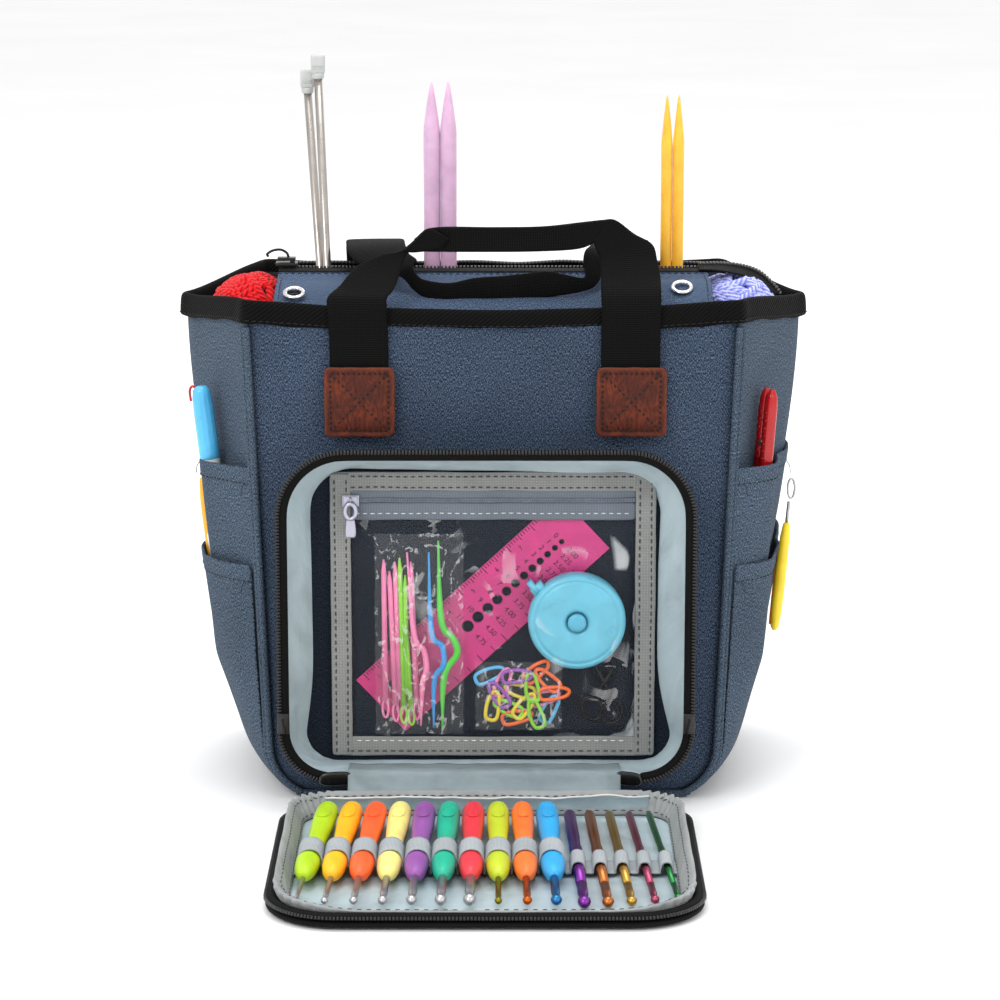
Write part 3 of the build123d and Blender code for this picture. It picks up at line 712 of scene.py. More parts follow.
def rim_path():
    """Closed path round the rim: (x, y, drop of its top edge)."""
    s, c = seam_half(PANEL_TOP), crease_half(PANEL_TOP)
    path = []
    for k in range(24):
        x = -s + 2 * s * k / 24
        path.append((x, -DEPTH + 0.9 * math.sin(k * 0.9), front_drop(x, PANEL_TOP)))
    for k in range(16):
        t = 1 - abs(k / 8 - 1)
        path.append((s + t * (c - s), -DEPTH + 2 * DEPTH * k / 16, gusset_drop(t, PANEL_TOP)))
    for k in range(24):
        x = s - 2 * s * k / 24
        path.append((x, DEPTH + 0.9 * math.sin(k * 0.8), 0.7 * front_drop(x, PANEL_TOP)))
    for k in range(16):
        t = 1 - abs(k / 8 - 1)
        path.append((-s - t * (c - s), DEPTH - 2 * DEPTH * k / 16, gusset_drop(t, PANEL_TOP)))
    return path


def rim():
    path = spline(rim_path(), 4, loop=True)
    n = len(path)
    section = [(-2.5, -5.8), (-2.9, -3), (-2.7, 1.5), (-2.2, 4.4), (-0.9, 6.0), (0.9, 6.0), (2.2, 4.4),
               (2.6, 1.5), (2.9, -3), (2.9, -5.8), (1.9, -6.2), (1.4, -3), (-1.4, -3), (-1.9, -6.2)]
    piece = Piece("rim_tape", TWILL)
    stitch = []
    rows = []
    for i, (x, y, drop) in enumerate(path):
        a, b = path[(i + 2) % n], path[i - 2]
        t = Vector((a[0] - b[0], a[1] - b[1], 0)).normalized()
        out = Vector((t.y, -t.x, 0))
        wave = 0.35 * math.sin(i * 0.55)
        centre = Vector((x, y, RIM_Z - drop))
        rolled = 1 - 0.5 * smooth((84 - abs(x)) / 22) * (y < 0)
        rows.append([centre + out * (o * 0.92 - 0.5) + Vector((0, 0, (z + wave) * rolled if z < 0 else z))
                     for o, z in section])
        stitch.append(centre + out * 2.2 + Vector((0, 0, -4.3 * rolled)))
    rows.append(rows[0])
    piece.grid(rows, closed=True)
    obj = piece.build("bag", "rim_binding", "binding", subdiv=1)
    thread = Piece("rim_stitches", DARK_THREAD)
    thread.stitches(stitch, 2.4, 1.1, 0.28)
    thread.build("bag")
    return obj


piping()
rim()

# ---------------------------------------------------------------- side pockets
UPPER_REAR = [(0.03, 0), (0.5, 13.2), (1, 0)]
LOWER_REAR = [(0.05, 1.2), (0.2, 12.0), (0.4, 19.0), (0.6, 15.0), (1, 0)]
UPPER = {1: ([(0.03, 0), (0.18, 8.7), (0.36, 12.3), (0.54, 7.0), (0.66, 2.1), (1, 0)], UPPER_REAR),
         -1: ([(0.03, 0), (0.32, 8.7), (0.5, 13.1), (0.62, 8.9), (0.72, 2.1), (1, 0)], UPPER_REAR)}
LOWER = {1: ([(0.05, 1.2), (0.18, 8.9), (0.36, 12.5), (0.54, 9.0), (0.68, 6.5), (0.8, 4.5), (0.92, 1.5),
              (1, 0)],
             LOWER_REAR),
         -1: ([(0.05, 1.2), (0.2, 8.9), (0.34, 12.0), (0.5, 14.0), (0.64, 11.0), (0.76, 9.3), (0.9, 4.0),
               (1, 0)],
              LOWER_REAR)}


def pocket_sheet(side, bulges, top, gap, name):
    lift = 2.5 if top > 150 else 1.5

    def point(k, z, extra=0.0):
        t = 1 - abs(k)
        table = bulges[0] if k <= 0 else bulges[1]
        span = [table[0][0]] + [a for a, _ in table]
        near = [0.0] + [b for _, b in table]
        bulge = sum(np.interp(t + d, span, near) for d in (-0.04, -0.02, 0, 0.02, 0.04)) / 5
        bulge *= min(1.0, z / 68)
        bulge += 0.5 * ripple(k * 6, z / 22, side * 3.3) * smooth((z - 10) / 30)
        x, y = side_point(z, t, bulge + gap + extra)
        return (side * x, y if k <= 0 else -y,
                z + lift * (1 - t) * smooth((z - 40) / (top - 40)) * 0.6 - gusset_drop(t, z))

    ks = [k / 28 for k in range(-27, 28)]
    zs = [6 + (top - 6) * i / 24 for i in range(25)]
    piece = Piece(name, DENIM)
    piece.grid([[point(k, z) for k in ks] for z in zs])
    hem = [top - 9.5, top - 6, top - 2, top + 0.2]
    piece.grid([[point(k, z, 0.5) for k in ks] for z in hem])
    sheet = piece.build("bag", slot="denim", solid=1.3, subdiv=1)
    thread = Piece(name + "_stitches", DARK_THREAD, BLUE_THREAD)
    thread.stitches([point(k, top - 8.2, 1.2) for k in ks], 2.0, 1.2, 0.28)
    for k in (-0.93, -0.04):
        x, y, z = point(k, top - 8.2, 1.9)
        ends = [(x, y, z), (x + side * 1.5, y - 1, z - 2.5), (x + side * 1.8, y - 1.4, z - 6)]
        thread.tube(spline(ends, 4), 0.22, 5, slot=1)
    thread.build("bag")
    return sheet


for side, word in ((-1, "left"), (1, "right")):
    upper = pocket_sheet(side, UPPER[side], 171.0, 1.3, f"{word}_upper_pocket")
    lower = pocket_sheet(side, LOWER[side], 121.0, 3.5, f"{word}_lower_pocket")
    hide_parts("upper_side_pockets")
    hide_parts("lower_side_pockets")


# ---------------------------------------------------------------- top closure
def flaps():
    cols = [k / 30 * 111 for k in range(-30, 31)]

    def front(x, t, lift=0.0):
        y = -68.5 + t * 51.5
        z = 251.2 - 4.6 * max(0, 1 - (x / 122) ** 2) * (1 - t) + t * 13.6
        z += (3.4 + 2.6 * smooth((x - 55) / 35)) * math.sin(math.pi * min(1.0, 1.25 * t))
        z += (1.5 * ripple(x / 22, y / 18, 2) * math.sin(math.pi * t)
              + 0.8 * math.sin(x / 14) * t * (1 - t) * 2)
        return (x, y, z + lift)

    piece = Piece("front_flap_cloth", FLAP_DENIM)
    rows = [[front(x, t / 14) for x in cols] for t in range(15)]
    piece.grid(rows)
    flap = piece.build("bag", "front_zip_flap", "denim", solid=1.5, subdiv=1)
    hem = Piece("flap_stitches", BLUE_THREAD)
    hem.stitches([front(x, 0.93, 1.0) for x in cols], 2.2, 1.2, 0.3)
    for end in (-108.5, 108.5):
        hem.stitches([front(end, t / 10, 1.0) for t in range(1, 10)], 2.2, 1.2, 0.3)
    hem.build("bag")

    rear = Piece("rear_flap_cloth", FLAP_DENIM)
    rear.grid([[(x, 41 + 27 * t / 8, 262 - 10 * t / 8 - 3 * max(0, 1 - (x / 122) ** 2) * t / 8
                 + 0.9 * ripple(x / 25, t, 9)) for x in cols] for t in range(9)])
    rear.build("bag", "rear_zip_flap", "denim", solid=1.5, subdiv=1)

    tape = Piece("top_zip_strips", ZIP_CLOTH)
    tape.grid([[(x, y, front(x, 1)[2] + 0.3 + z) for x in cols]
               for y, z in ((-19.5, 0.1), (-14, 0.6), (-8, 0.4))])
    tape.grid([[(x, y, 261.7 + z + 0.9 * ripple(x / 25, 0, 9)) for x in cols]
               for y, z in ((34, 0.3), (38, 0.4), (43, 0.2))])
    tape.build("bag", "top_zip_tapes", "zip", solid=0.8, subdiv=1)
    tail = [((106, -20, 266.4), (106, -9, 267.4)), ((116, -18, 265.6), (117, -6, 267.2)),
            ((126, -14, 263.2), (128, -2, 265.6)), ((135, -9, 259.2), (138, 2, 261.8)),
            ((141, -5, 255.0), (146, 5, 254.6)), ((145, -3, 251.0), (150, 6, 249.5))]
    end = Piece("top_zip_tail", ZIP_CLOTH)
    rows = ribbon(tail, 7, 5)
    end.grid(rows)
    loose = Piece("top_zip_tail_teeth", TEETH)
    loose.teeth([row[-1] + np.array([0.3, 0.3, 0.4]) for row in rows], lambda p: (0.5, 1, 0.2), 1.9,
                (0.6, 1.2, 0.8))
    end.build("bag", slot="zip", solid=0.5)
    loose.build("bag")
    teeth = Piece("top_zip_teeth", TEETH)
    teeth.teeth([(x, -7.4, front(x, 1)[2] + 1.0) for x in cols], lambda p: (0, 1, 0), 1.9, (0.6, 1.3, 0.8))
    teeth.teeth([(x, 33.0, 262.3 + 0.9 * ripple(x / 25, 0, 9)) for x in cols], lambda p: (0, -1, 0), 1.9,
                (0.6, 1.3, 0.8))
    teeth.build("bag")
    return flap


def eyelets():
    piece = Piece("eyelet_rings", CHROME, EYELET_HOLE_SHADE)
    for x, y, z, lean in ((-100.5, -55, 259.4, 0.42), (95.5, -52.5, 261.9, 0.5)):
        up = Vector((0, -math.sin(lean), math.cos(lean)))
        centre = Vector((x, y, z))
        profile = [(-1.6, 3.4), (-0.2, 3.35), (1.0, 3.5), (1.5, 4.0), (1.6, 4.8), (1.2, 5.6), (0.4, 5.8),
                   (0.2, 5.2)]
        rows = []
        for d, r in profile:
            rows.append([centre + up * d + Vector((math.cos(a), 0, 0)) * r
                         + up.cross(Vector((1, 0, 0))) * (math.sin(a) * r)
                         for a in angles(28)])
        piece.grid(rows, closed=True)
        # A black disc shuts the eyelet's barrel: painted shade where the hole opens into the bag.
        piece.fan([p - up * 0.4 for p in rows[0]], slot=1)
    return piece.build("bag", "eyelets", "metal", subdiv=1)


def top_slider():
    piece = Piece("top_slider_body", TEETH, DARK_METAL)
    piece.block((-107, -8, 267.9), (5.6, 0, 0), (0, 4.2, 0), (0, 0, 0.8))
    piece.block((-107, -8, 270.6), (4.6, 0, 0), (0, 2.8, 0), (0, 0, 0.7))
    piece.block((-104, -8, 269.3), (1.2, 0, 0), (0, 1.2, 0), (0, 0, 1.2))
    hook = [(-106, -8, 271.4), (-107, -8, 273.6), (-110, -8, 275.2), (-114, -8, 274.8), (-117, -8.2, 273.0),
            (-116.4, -8.2, 271.6)]
    piece.tube(spline(hook, 5), 0.95, 8, slot=1, flat=0.7)
    return piece.build("top_slider", "top_zip_slider", "zip", bevel=0.4)


flaps()
eyelets()
top_slider()


# ---------------------------------------------------------------- webbing and leather
def front_webbing():
    left, right = (-82.4, -52.4), (53.6, 83.6)
    stations = [
        ((left[0], -75.0, 192), (left[1], -75.0, 192)),
        ((left[0] + 0.4, -75.2, 222), (left[1] + 0.2, -75.2, 222)),
        ((-82.2, -75.8, 244), (-52.4, -75.8, 244)),
        ((-82.8, -76.8, 254), (-52.6, -76.8, 254)),
        ((-82.8, -75.9, 260.8), (-52.8, -76.1, 260.3)),
        ((-77.0, -69.5, 265.6), (-50.0, -72.4, 263.4)),
        ((-68.5, -62.5, 274.6), (-47.8, -66.0, 267.4)),
        ((-56.6, -58.6, 279.6), (-46.0, -60.6, 273.4)),
        ((-46.0, -57.2, 281.9), (-43.6, -57.4, 279.6)),
        ((-37.6, -57.0, 288.4), (-40.2, -56.6, 281.0)),
        ((-31.7, -57.0, 293.2), (-31.7, -56.8, 280.9)),
        ((-10.0, -57.2, 293.6), (-10.0, -57.0, 280.8)),
        ((20.0, -57.0, 293.8), (20.0, -57.0, 281.0)),
        ((42.0, -57.0, 295.6), (42.0, -57.0, 282.2)),
        ((54.5, -57.0, 297.2), (50.6, -57.4, 285.4)),
        ((61.6, -57.2, 297.2), (50.4, -57.8, 286.0)),
        ((71.0, -57.8, 290.4), (51.4, -58.6, 282.6)),
        ((80.2, -59.0, 285.2), (53.0, -59.8, 279.6)),
        ((82.6, -61.6, 277.6), (53.8, -61.8, 276.6)),
        ((84.0, -67.0, 270.2), (53.8, -67.0, 270.2)),
        ((84.2, -74.8, 263.6), (53.8, -74.8, 263.6)),
        ((84.2, -76.9, 256.0), (54.0, -76.9, 256.0)),
        ((84.0, -75.8, 245.0), (54.0, -75.8, 245.0)),
        ((right[1] + 0.4, -75.2, 222), (right[0] + 0.4, -75.2, 222)),
        ((right[1] + 0.6, -75.0, 192), (right[0] + 0.6, -75.0, 192)),
    ]
    piece = Piece("front_handle_webbing", WEBBING)
    piece.grid(ribbon(stations, 9, 6, 0.35))
    obj = piece.build(None, ("front_handle", "strap_ends"), "webbing", solid=2.0, subdiv=1)
    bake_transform(obj)

    fold = Piece("front_grip_fold", WEBBING)
    fold.grid(ribbon([
        ((-44.6, -58.6, 282.2), (-43.6, -58.6, 281.0)),
        ((-38.0, -59.6, 288.4), (-40.0, -59.6, 280.9)),
        ((-32.4, -60.0, 293.4), (-35.0, -60.0, 281.4)),
        ((-26.6, -60.0, 291.0), (-28.6, -59.6, 282.4)),
        ((-21.6, -59.2, 287.8), (-26.2, -58.8, 283.2)),
    ], 7, 5, 0.4))
    fold.build("front_handle", slot="webbing", solid=1.8, subdiv=1)
    inner = Piece("front_grip_back", WEBBING)
    inner.grid(ribbon([((x, -53.6, top), (x, -53.6, low)) for x, top, low in
                       ((-40, 287, 282), (-30, 293, 281.4), (0, 293.2, 281.2), (25, 293.6, 281.6),
                        (45, 295.8, 283), (56, 297, 288))], 7, 6, -0.4))
    inner.build("front_handle", slot="webbing", solid=2.0, subdiv=1)
    return obj


def rear_webbing():
    stations = [((-80, 75.0, 192), (-50, 75.0, 192)), ((-80, 75.2, 225), (-50, 75.2, 225)),
                ((-80, 76.2, 250), (-50, 76.2, 250)), ((-80, 76.4, 258), (-50, 76.4, 258)),
                ((-80, 71, 265.0), (-50, 71, 265.0)), ((-79, 52, 269.4), (-49.6, 52, 269.4)),
                ((-78, 30, 273.6), (-48.6, 30, 273.6)), ((-77, 6, 277.6), (-46.5, 6, 278.0)),
                ((-76, -12, 277.8), (-45.6, -12, 280.4)), ((-74.6, -24, 276.4), (-44.6, -27, 280.0)),
                ((-70, -34, 272.0), (-42.6, -38, 277.4)), ((-58, -42, 268.4), (-38.5, -44.5, 275.2)),
                ((-46.5, -46.5, 266.6), (-40.5, -47.5, 272.0)),
                ((-40.5, -49.0, 260.6), (-37.6, -49.4, 267.4)),
                ((-34.0, -50.0, 256.6), (-32.6, -50.2, 265.4)),
                ((-23.6, -50.6, 253.4), (-21.6, -50.8, 264.4)),
                ((-10.0, -50.8, 253.0), (-9.6, -51.0, 267.0)), ((4.0, -50.8, 254.0), (4.0, -51.0, 268.0)),
                ((18, -50.6, 255.4), (18, -50.8, 269.4)), ((30, -50.4, 257.2), (28, -50.4, 270.4)),
                ((40, -50.0, 258.6), (38.6, -49.8, 268.0)), ((49, -49, 260.8), (46.4, -48.4, 267.0)),
                ((53.6, -46.5, 264.2), (45.6, -45.8, 274.0)), ((56, -42, 269.0), (46.6, -41.5, 279.4)),
                ((66, -36, 271.6), (49, -34, 280.6)), ((76, -27, 275.4), (50, -24, 280.6)),
                ((80.5, -10, 278.6), (51.4, -10, 279.8)), ((81, 12, 276.8), (52, 12, 276.8)),
                ((81, 36, 272.6), (52, 36, 272.6)), ((81.4, 56, 268.8), (52, 56, 268.8)),
                ((81.6, 71, 265.0), (52.2, 71, 265.0)), ((82, 76.4, 258), (52.4, 76.4, 258)),
                ((82.4, 76.2, 248), (52.4, 76.2, 248)), ((82.6, 75.2, 225), (52.6, 75.2, 225)),
                ((82.6, 75.0, 192), (52.6, 75.0, 192))]
    piece = Piece("rear_handle_webbing", WEBBING)
    piece.grid(ribbon(stations, 9, 5, 0.3))
    obj = piece.build(None, "rear_handle", "webbing", solid=2.0, subdiv=1)
    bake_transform(obj)
    return obj


def patch(x, side, index):
    """A soft leather square, slightly crowned, with a stitched border and cross."""
    half, z0 = 17.7, 208.0
    face = side * 78.6
    piece = Piece(f"leather_patch_{index}", LEATHER)
    rows = []
    wobble = 0.25
    for share, back in ((0.985, 2.0), (1.0, 1.2), (0.995, 0.35), (0.97, 0.0), (0.9, 0.06), (0.84, 0.5),
                        (0.8, 0.1),
                        (0.6, -0.15), (0.35, -0.2), (0.12, -0.2)):
        ring = []
        for k, a in enumerate(angles(96)):
            r = squircle(a, 18) * (share * half + wobble * ripple(k / 5, x / 10, side))
            ring.append((x + math.cos(a) * r, face - side * back, z0 + math.sin(a) * r))
        rows.append(ring)
    piece.grid(rows, closed=True)
    piece.fan(rows[-1])
    piece.flat_uvs(0, 2, (x, z0))
    obj = piece.build("bag", "leather_patches", "leather", subdiv=1)
    thread = Piece(f"patch_thread_{index}", DARK_THREAD)
    q, y = half * 0.82, face + side * 0.05
    corners = [(-q, -q), (q, -q), (q, q), (-q, q), (-q, -q)]
    for a, b in zip(corners, corners[1:]):
        path = [(x + a[0] + (b[0] - a[0]) * k / 8, y + side * 0.1, z0 + a[1] + (b[1] - a[1]) * k / 8)
                for k in range(9)]
        thread.stitches(path, 1.4, 1.25, 0.45, start=0.6)
    for sx in (-1, 1):
        path = [(x + sx * t * q * 0.94, y + side * 0.15, z0 + t * q * 0.94) for t in (-1, -0.5, 0, 0.5, 1)]
        thread.stitches(path, 1.4, 1.5, 0.45, start=1.2)
    thread.build("bag")
    return obj


front_webbing()
rear_webbing()
for index, (x, side) in enumerate(((-67, -1), (69.5, -1), (-67, 1), (69.5, 1)), 1):
    patch(x, side, index)


# ---------------------------------------------------------------- front pocket
POCKET_X, POCKET_MID_Z, POCKET_MOUTH_Y = -3.5, 95, -100
WINDOW_ZIP_Z, WINDOW_SLIDER_X = 157.0, -72.0


def frame_path(centre, half, z0, z1, r_top, r_low, per=10):
    """Rounded frame in X and Z, anticlockwise from the bottom middle."""
    path = [(centre + half * k, z0) for k in (0, 0.25, 0.5)]

    def corner(cx, cz, r, a0):
        for k in range(per + 1):
            a = a0 + math.pi / 2 * k / per
            path.append((cx + r * math.cos(a), cz + r * math.sin(a)))

    corner(centre + half - r_low, z0 + r_low, r_low, -math.pi / 2)
    path.extend((centre + half, z0 + r_low + (z1 - r_top - z0 - r_low) * k / 8) for k in range(1, 8))
    corner(centre + half - r_top, z1 - r_top, r_top, 0)
    path.extend((centre + (half - r_top) * (1 - k / 5), z1) for k in range(1, 10))
    corner(centre - half + r_top, z1 - r_top, r_top, math.pi / 2)
    path.extend((centre - half, z1 - r_top - (z1 - r_top - z0 - r_low) * k / 8) for k in range(1, 8))
    corner(centre - half + r_low, z0 + r_low, r_low, math.pi)
    path.extend((centre - half * k, z0) for k in (0.5, 0.25))
    return path


def pocket_ring(y, inset):
    """The pocket's outline at depth y; it narrows from its back to its mouth."""
    share = (y - POCKET_MOUTH_Y) / 28
    lean, low = share * 9, share * 1.5
    return frame_path(POCKET_X * (1 - share / 3), 105.8 - lean - inset, 15 + low + inset, 188 - lean - inset,
                      35 - lean - inset, 28 - lean - inset)


def pocket():
    piece = Piece("pocket_side_cloth", DENIM, LINING)
    outer = [[(x, y, z) for x, z in pocket_ring(y, 0.2 + 0.5 * math.sin(i))] for i, y in
             enumerate((-72.0, -76, -82, -88, -93, -96.5))]
    piece.grid(outer, closed=True)
    inner = []
    for y in (-96.8, -94, -91, -88, -85, -82, -79, -76, -72.8):
        ring = []
        for k, (x, z) in enumerate(pocket_ring(y, 2.8)):
            depth = (y + 96.8) / 24
            crease = (1.5 * ripple(k / 3.3, y / 16, 4) * math.sin(math.pi * depth)
                      + 0.5 * ripple(k / 1.1, y / 7, 8) * depth)
            crease += depth ** 1.5 * (4.0 + 3.5 * smooth(x / 60)) * smooth((z - 30) / 30)
            cx, cz = POCKET_X - x, POCKET_MID_Z - z
            reach = math.hypot(cx, cz)
            ring.append((x + cx / reach * (crease + 0.6), y, z + cz / reach * (crease + 0.6)))
        inner.append(ring)
    piece.grid(inner, closed=True, slot=1)
    piece.build("bag", "pocket_wall", "denim", subdiv=1)

    tape = Piece("pocket_zip_cloth", ZIP_CLOTH)
    profile = [(0.9, -96.2), (0.5, -98.2), (0.9, -99.4), (2.4, -99.7), (4.2, -99.0), (5.3, -97.8),
               (5.2, -96.6), (3, -96.0)]
    rows = [[(x, y, z) for x, z in pocket_ring(y, inset)[3:-2]] for inset, y in profile]
    tape.sleeve(rows)
    tape.build("bag", "pocket_zip_tape", "zip", subdiv=1)
    teeth = Piece("pocket_zip_teeth", TEETH)
    ring = [(x, -99.9, z) for x, z in pocket_ring(-99.4, 1.1)[3:-2]]
    teeth.teeth(ring, lambda p: (p.x - POCKET_X, 0, p.z - 100), 1.7, (0.55, 1.15, 0.75))
    teeth.build("bag")

    tabs = Piece("zip_end_tabs", GLOSS_BLACK)
    for x0, x1, tilt in ((-88.5, -70.6, 0.5), (61.5, 75.6, -0.8)):
        rows = []
        for dy, shrink in ((-1.6, 0.86), (-1.2, 1.0), (0.8, 1.0), (1.4, 0.8)):
            ring = []
            for a in angles(24):
                c, q = math.cos(a), math.sin(a)
                bend = squircle(a, 3.4) * shrink
                ring.append(((x0 + x1) / 2 + c * bend * (x1 - x0) / 2, -100.6 + dy,
                             18.2 + q * bend * 3.6 + tilt * c))
            rows.append(ring)
        tabs.grid(rows, closed=True).fan(rows[0]).fan(rows[-1])
    tabs.build("bag", slot="zip", subdiv=1)

    # A dark denim sheet at the pocket's back: painted shade, as the cloth there is the same denim seen unlit.
    shade_sheet = Piece("pocket_painted_shade_sheet", PAINTED_SHADE_DENIM)
    ring = pocket_ring(-72.6, 2.2)
    shade_sheet.grid([[(-1 + (x + 1) * share, -72.2 - 0.05 * ripple(x / 14, z / 20, share),
                    POCKET_MID_Z + (z - POCKET_MID_Z) * share)
                   for x, z in ring] for share in (1.0, 0.96, 0.9, 0.8, 0.6, 0.4, 0.2, 0.05)], closed=True)
    shade_sheet.flat_uvs(0, 2)
    shade_sheet.build("bag", slot="denim")


def strip(name, a, b, width, material, y=-74.1, thick=1.0, slot="grey_tape", wobble=0.4, body="bag",
          replaces=()):
    """A flat sewn tape between two points in X and Z, with slightly uneven edges."""
    a, b = np.array(a, float), np.array(b, float)
    run = b - a
    across = np.array([-run[1], run[0]]) / np.linalg.norm(run) * width / 2
    rows = []
    for k in range(25):
        c = a + run * k / 24
        row = []
        for j in range(7):
            s = j / 3 - 1
            edge = wobble * ripple(k / 2.1, s * 2, a[0] / 9 + width) * abs(s)
            p = c + across * (s + edge / width * 2)
            row.append((p[0], y - 0.25 * (1 - s * s) - 0.3 * ripple(k / 3, s, 2.5), p[1]))
        rows.append(row)
    piece = Piece(name, material)
    piece.grid(rows)
    return piece.build(body, replaces, slot, solid=thick, subdiv=1)


def window():
    low, high = 22.6, 171.2
    strip("window_band_top", (-81.5, 166.4), (81.5, 166.4), 10.4, GROSGRAIN, replaces="window_binding")
    strip("window_band_bottom", (-81, 27.6), (81, 27.6), 10.4, GROSGRAIN)
    strip("window_band_left", (-77.4, low), (-77.4, high), 10.6, GROSGRAIN, y=-74.6)
    strip("window_band_right", (77.4, low), (77.4, high), 10.6, GROSGRAIN, y=-74.6)
    strip("window_zip_upper", (-72.4, 159.6), (72.4, 159.6), 5.0, ZIP_BAND, y=-74.2, slot="zip_grey",
          replaces="window_zip_tape")
    strip("window_zip_lower", (-72.4, 151.3), (72.4, 151.3), 9.4, ZIP_BAND, y=-74.2, slot="zip_grey")
    coil = Piece("window_zip_coil", GREY_COIL)
    for z in (156.4, 157.6):
        coil.tube([(x, -75.0 + 0.1 * math.sin(x), z + 0.5 * ripple(x / 16, 7))
                   for x in np.linspace(-72, 72, 60)], 0.62, 6)
    coil.teeth([(x, -75.4, WINDOW_ZIP_Z + 0.5 * ripple(x / 16, 7)) for x in np.linspace(-72, 72, 40)],
               lambda p: (0, -1, 0), 1.15, (0.3, 0.35, 1.0))
    coil.build("bag", slot="zip_grey")

    thread = Piece("window_stitches", GREY_THREAD, PALE_THREAD)
    for x in (-80.3, -74.4, 74.4, 80.3):
        thread.stitches([(x + 0.3 * ripple(z / 20, x), -75.5, z) for z in np.linspace(low + 2, high - 2, 30)],
                        2.3, 1.5, 0.4)
    for z in (169.2, 163.6):
        thread.stitches([(x, -75.0, z + 0.4 * ripple(x / 20, z)) for x in np.linspace(-72, 72, 40)], 2.3, 1.5,
                        0.38)
    thread.stitches([(x, -75.0, 150.2 + 0.4 * ripple(x / 18, 5)) for x in np.linspace(-70, 70, 40)], 2.3, 1.6,
                    0.26, slot=1)
    thread.stitches([(x, -75.0, 30.6) for x in np.linspace(-70, 70, 30)], 2.6, 1.6, 0.38, slot=1)
    thread.stitches([(x, -75.0, 25.2) for x in np.linspace(-78, 78, 30)], 2.6, 1.6, 0.38)
    thread.build("bag")

    def bulge(x, z):
        edge = (smooth((x + 72.6) / 17) * smooth((72.6 - x) / 5.6) * smooth((z - 32.4) / 9)
                * smooth((146 - z) / 22))
        return 14.0 * edge

    sheet = Piece("window_clear_sheet", VINYL)
    sheet.grid([[(x, -74.4 - bulge(x, z) - 0.5 * ripple(x / 16, z / 30, 6), z)
                 for x in np.linspace(-72.4, 72.4, 60)]
                for z in np.linspace(32.8, 150.6, 50)])
    sheet.build("bag", "window_vinyl", "vinyl")

    x0, z0 = WINDOW_SLIDER_X, WINDOW_ZIP_Z
    slider = Piece("window_slider_body", PULL_METAL)
    slider.block((x0, -76.2, z0), (4.3, 0, 0), (0, 0, 2.9), (0, 0.5, 0))
    slider.block((x0, -77.6, z0), (3.6, 0, 0), (0, 0, 2.4), (0, 0.5, 0))
    loop = spline([(x0, -78.0, 159.2), (x0, -79.2, 158.6), (x0, -79.6, z0), (x0, -78.6, 155.6)], 4)
    slider.tube(loop, 0.6, 6)
    slider.build("window_slider", "window_slider", "zip_grey", bevel=0.4)
    pull = Piece("window_pull_tab", PULL_METAL)
    ring = [(x0 + 2.8 * math.cos(a), -80.4, 152.4 + 3.9 * math.sin(a)) for a in angles(19)]
    pull.tube(ring, 0.85, 8, loop=True)
    pull.grid([[(x0 + w * s, -80.4, z) for s in (-1, -0.5, 0, 0.5, 1)] for w, z in
               ((2.0, 149.4), (2.3, 147.5), (2.8, 144), (3.0, 140.0), (2.2, 138.6))])
    pull.build("window_pull", "window_pull", "metal", solid=1.1, subdiv=1)


pocket()
window()

SLIDER_BODIES = ((-1, "left_door_slider"), (1, "right_door_slider"))
for side, node in SLIDER_BODIES:
    x = POCKET_X + side * 102.6
    s = Piece(node + "_body", TEETH, DARK_METAL)
    s.block((x, -100.9, 47), (2.9, 0, 0), (0, 0.5, 0), (0, 0, 5.2))
    s.block((x, -101.5, 47), (2.2, 0, 0), (0, 0.35, 0), (0, 0, 4.2))
    s.tube(spline([(x, -101.7, 50), (x, -102.0, 48), (x - side, -102.0, 44), (x - side, -101.8, 42)], 4), 0.7,
           6, slot=1)
    s.build(node, node, "zip", bevel=0.4)


# ---------------------------------------------------------------- notions behind the window
PINK = plastic("ruler_pink", rgb(196, 44, 120), 0.35, 0.05)
SKY = plastic("tape_blue", rgb(100, 184, 208), 0.28, 0.1)
SKY_DEEP = plastic("tape_blue_button", rgb(84, 172, 200), 0.3, 0.1)
MARK = plastic("printed_mark", rgb(40, 20, 34), 0.6)

paint_node("gauge_ruler", PINK)

RULER_TILT = math.radians(42.8)
RULER_CENTRE = Vector((-5.5, -72.9, 96.9))


def slanted(a):
    """Directions along and across a line at angle a on the bag's front."""
    return Vector((math.cos(a), 0, math.sin(a))), Vector((-math.sin(a), 0, math.cos(a)))


RULER_ALONG, RULER_ACROSS = slanted(RULER_TILT)


def ruler_place(u, v, lift=0.0):
    """A point on the ruler's face: u along it, v across it."""
    return RULER_CENTRE + RULER_ALONG * u + RULER_ACROSS * v - Vector((0, lift, 0))


def write(name, text, u, v, height, turn, body="bag"):
    """Plain numbers printed on the ruler."""
    curve = bpy.data.curves.new(name, "FONT")
    curve.body, curve.size, curve.align_x, curve.align_y = text, height * MM, "CENTER", "CENTER"
    temp = bpy.data.objects.new(name + "_source", curve)
    bpy.context.scene.collection.objects.link(temp)
    bpy.context.view_layer.update()
    mesh = bpy.data.meshes.new_from_object(temp)
    bpy.data.objects.remove(temp)
    origin = ruler_place(u, v, 0.12) * MM
    ax, az = slanted(RULER_TILT + math.radians(turn))
    for vert in mesh.vertices:
        vert.co = origin + ax * vert.co.x + az * vert.co.y
    mesh.materials.clear()
    mesh.materials.append(MARK)
    obj = bpy.data.objects.new(name, mesh)
    bpy.context.scene.collection.objects.link(obj)
    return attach(obj, body)


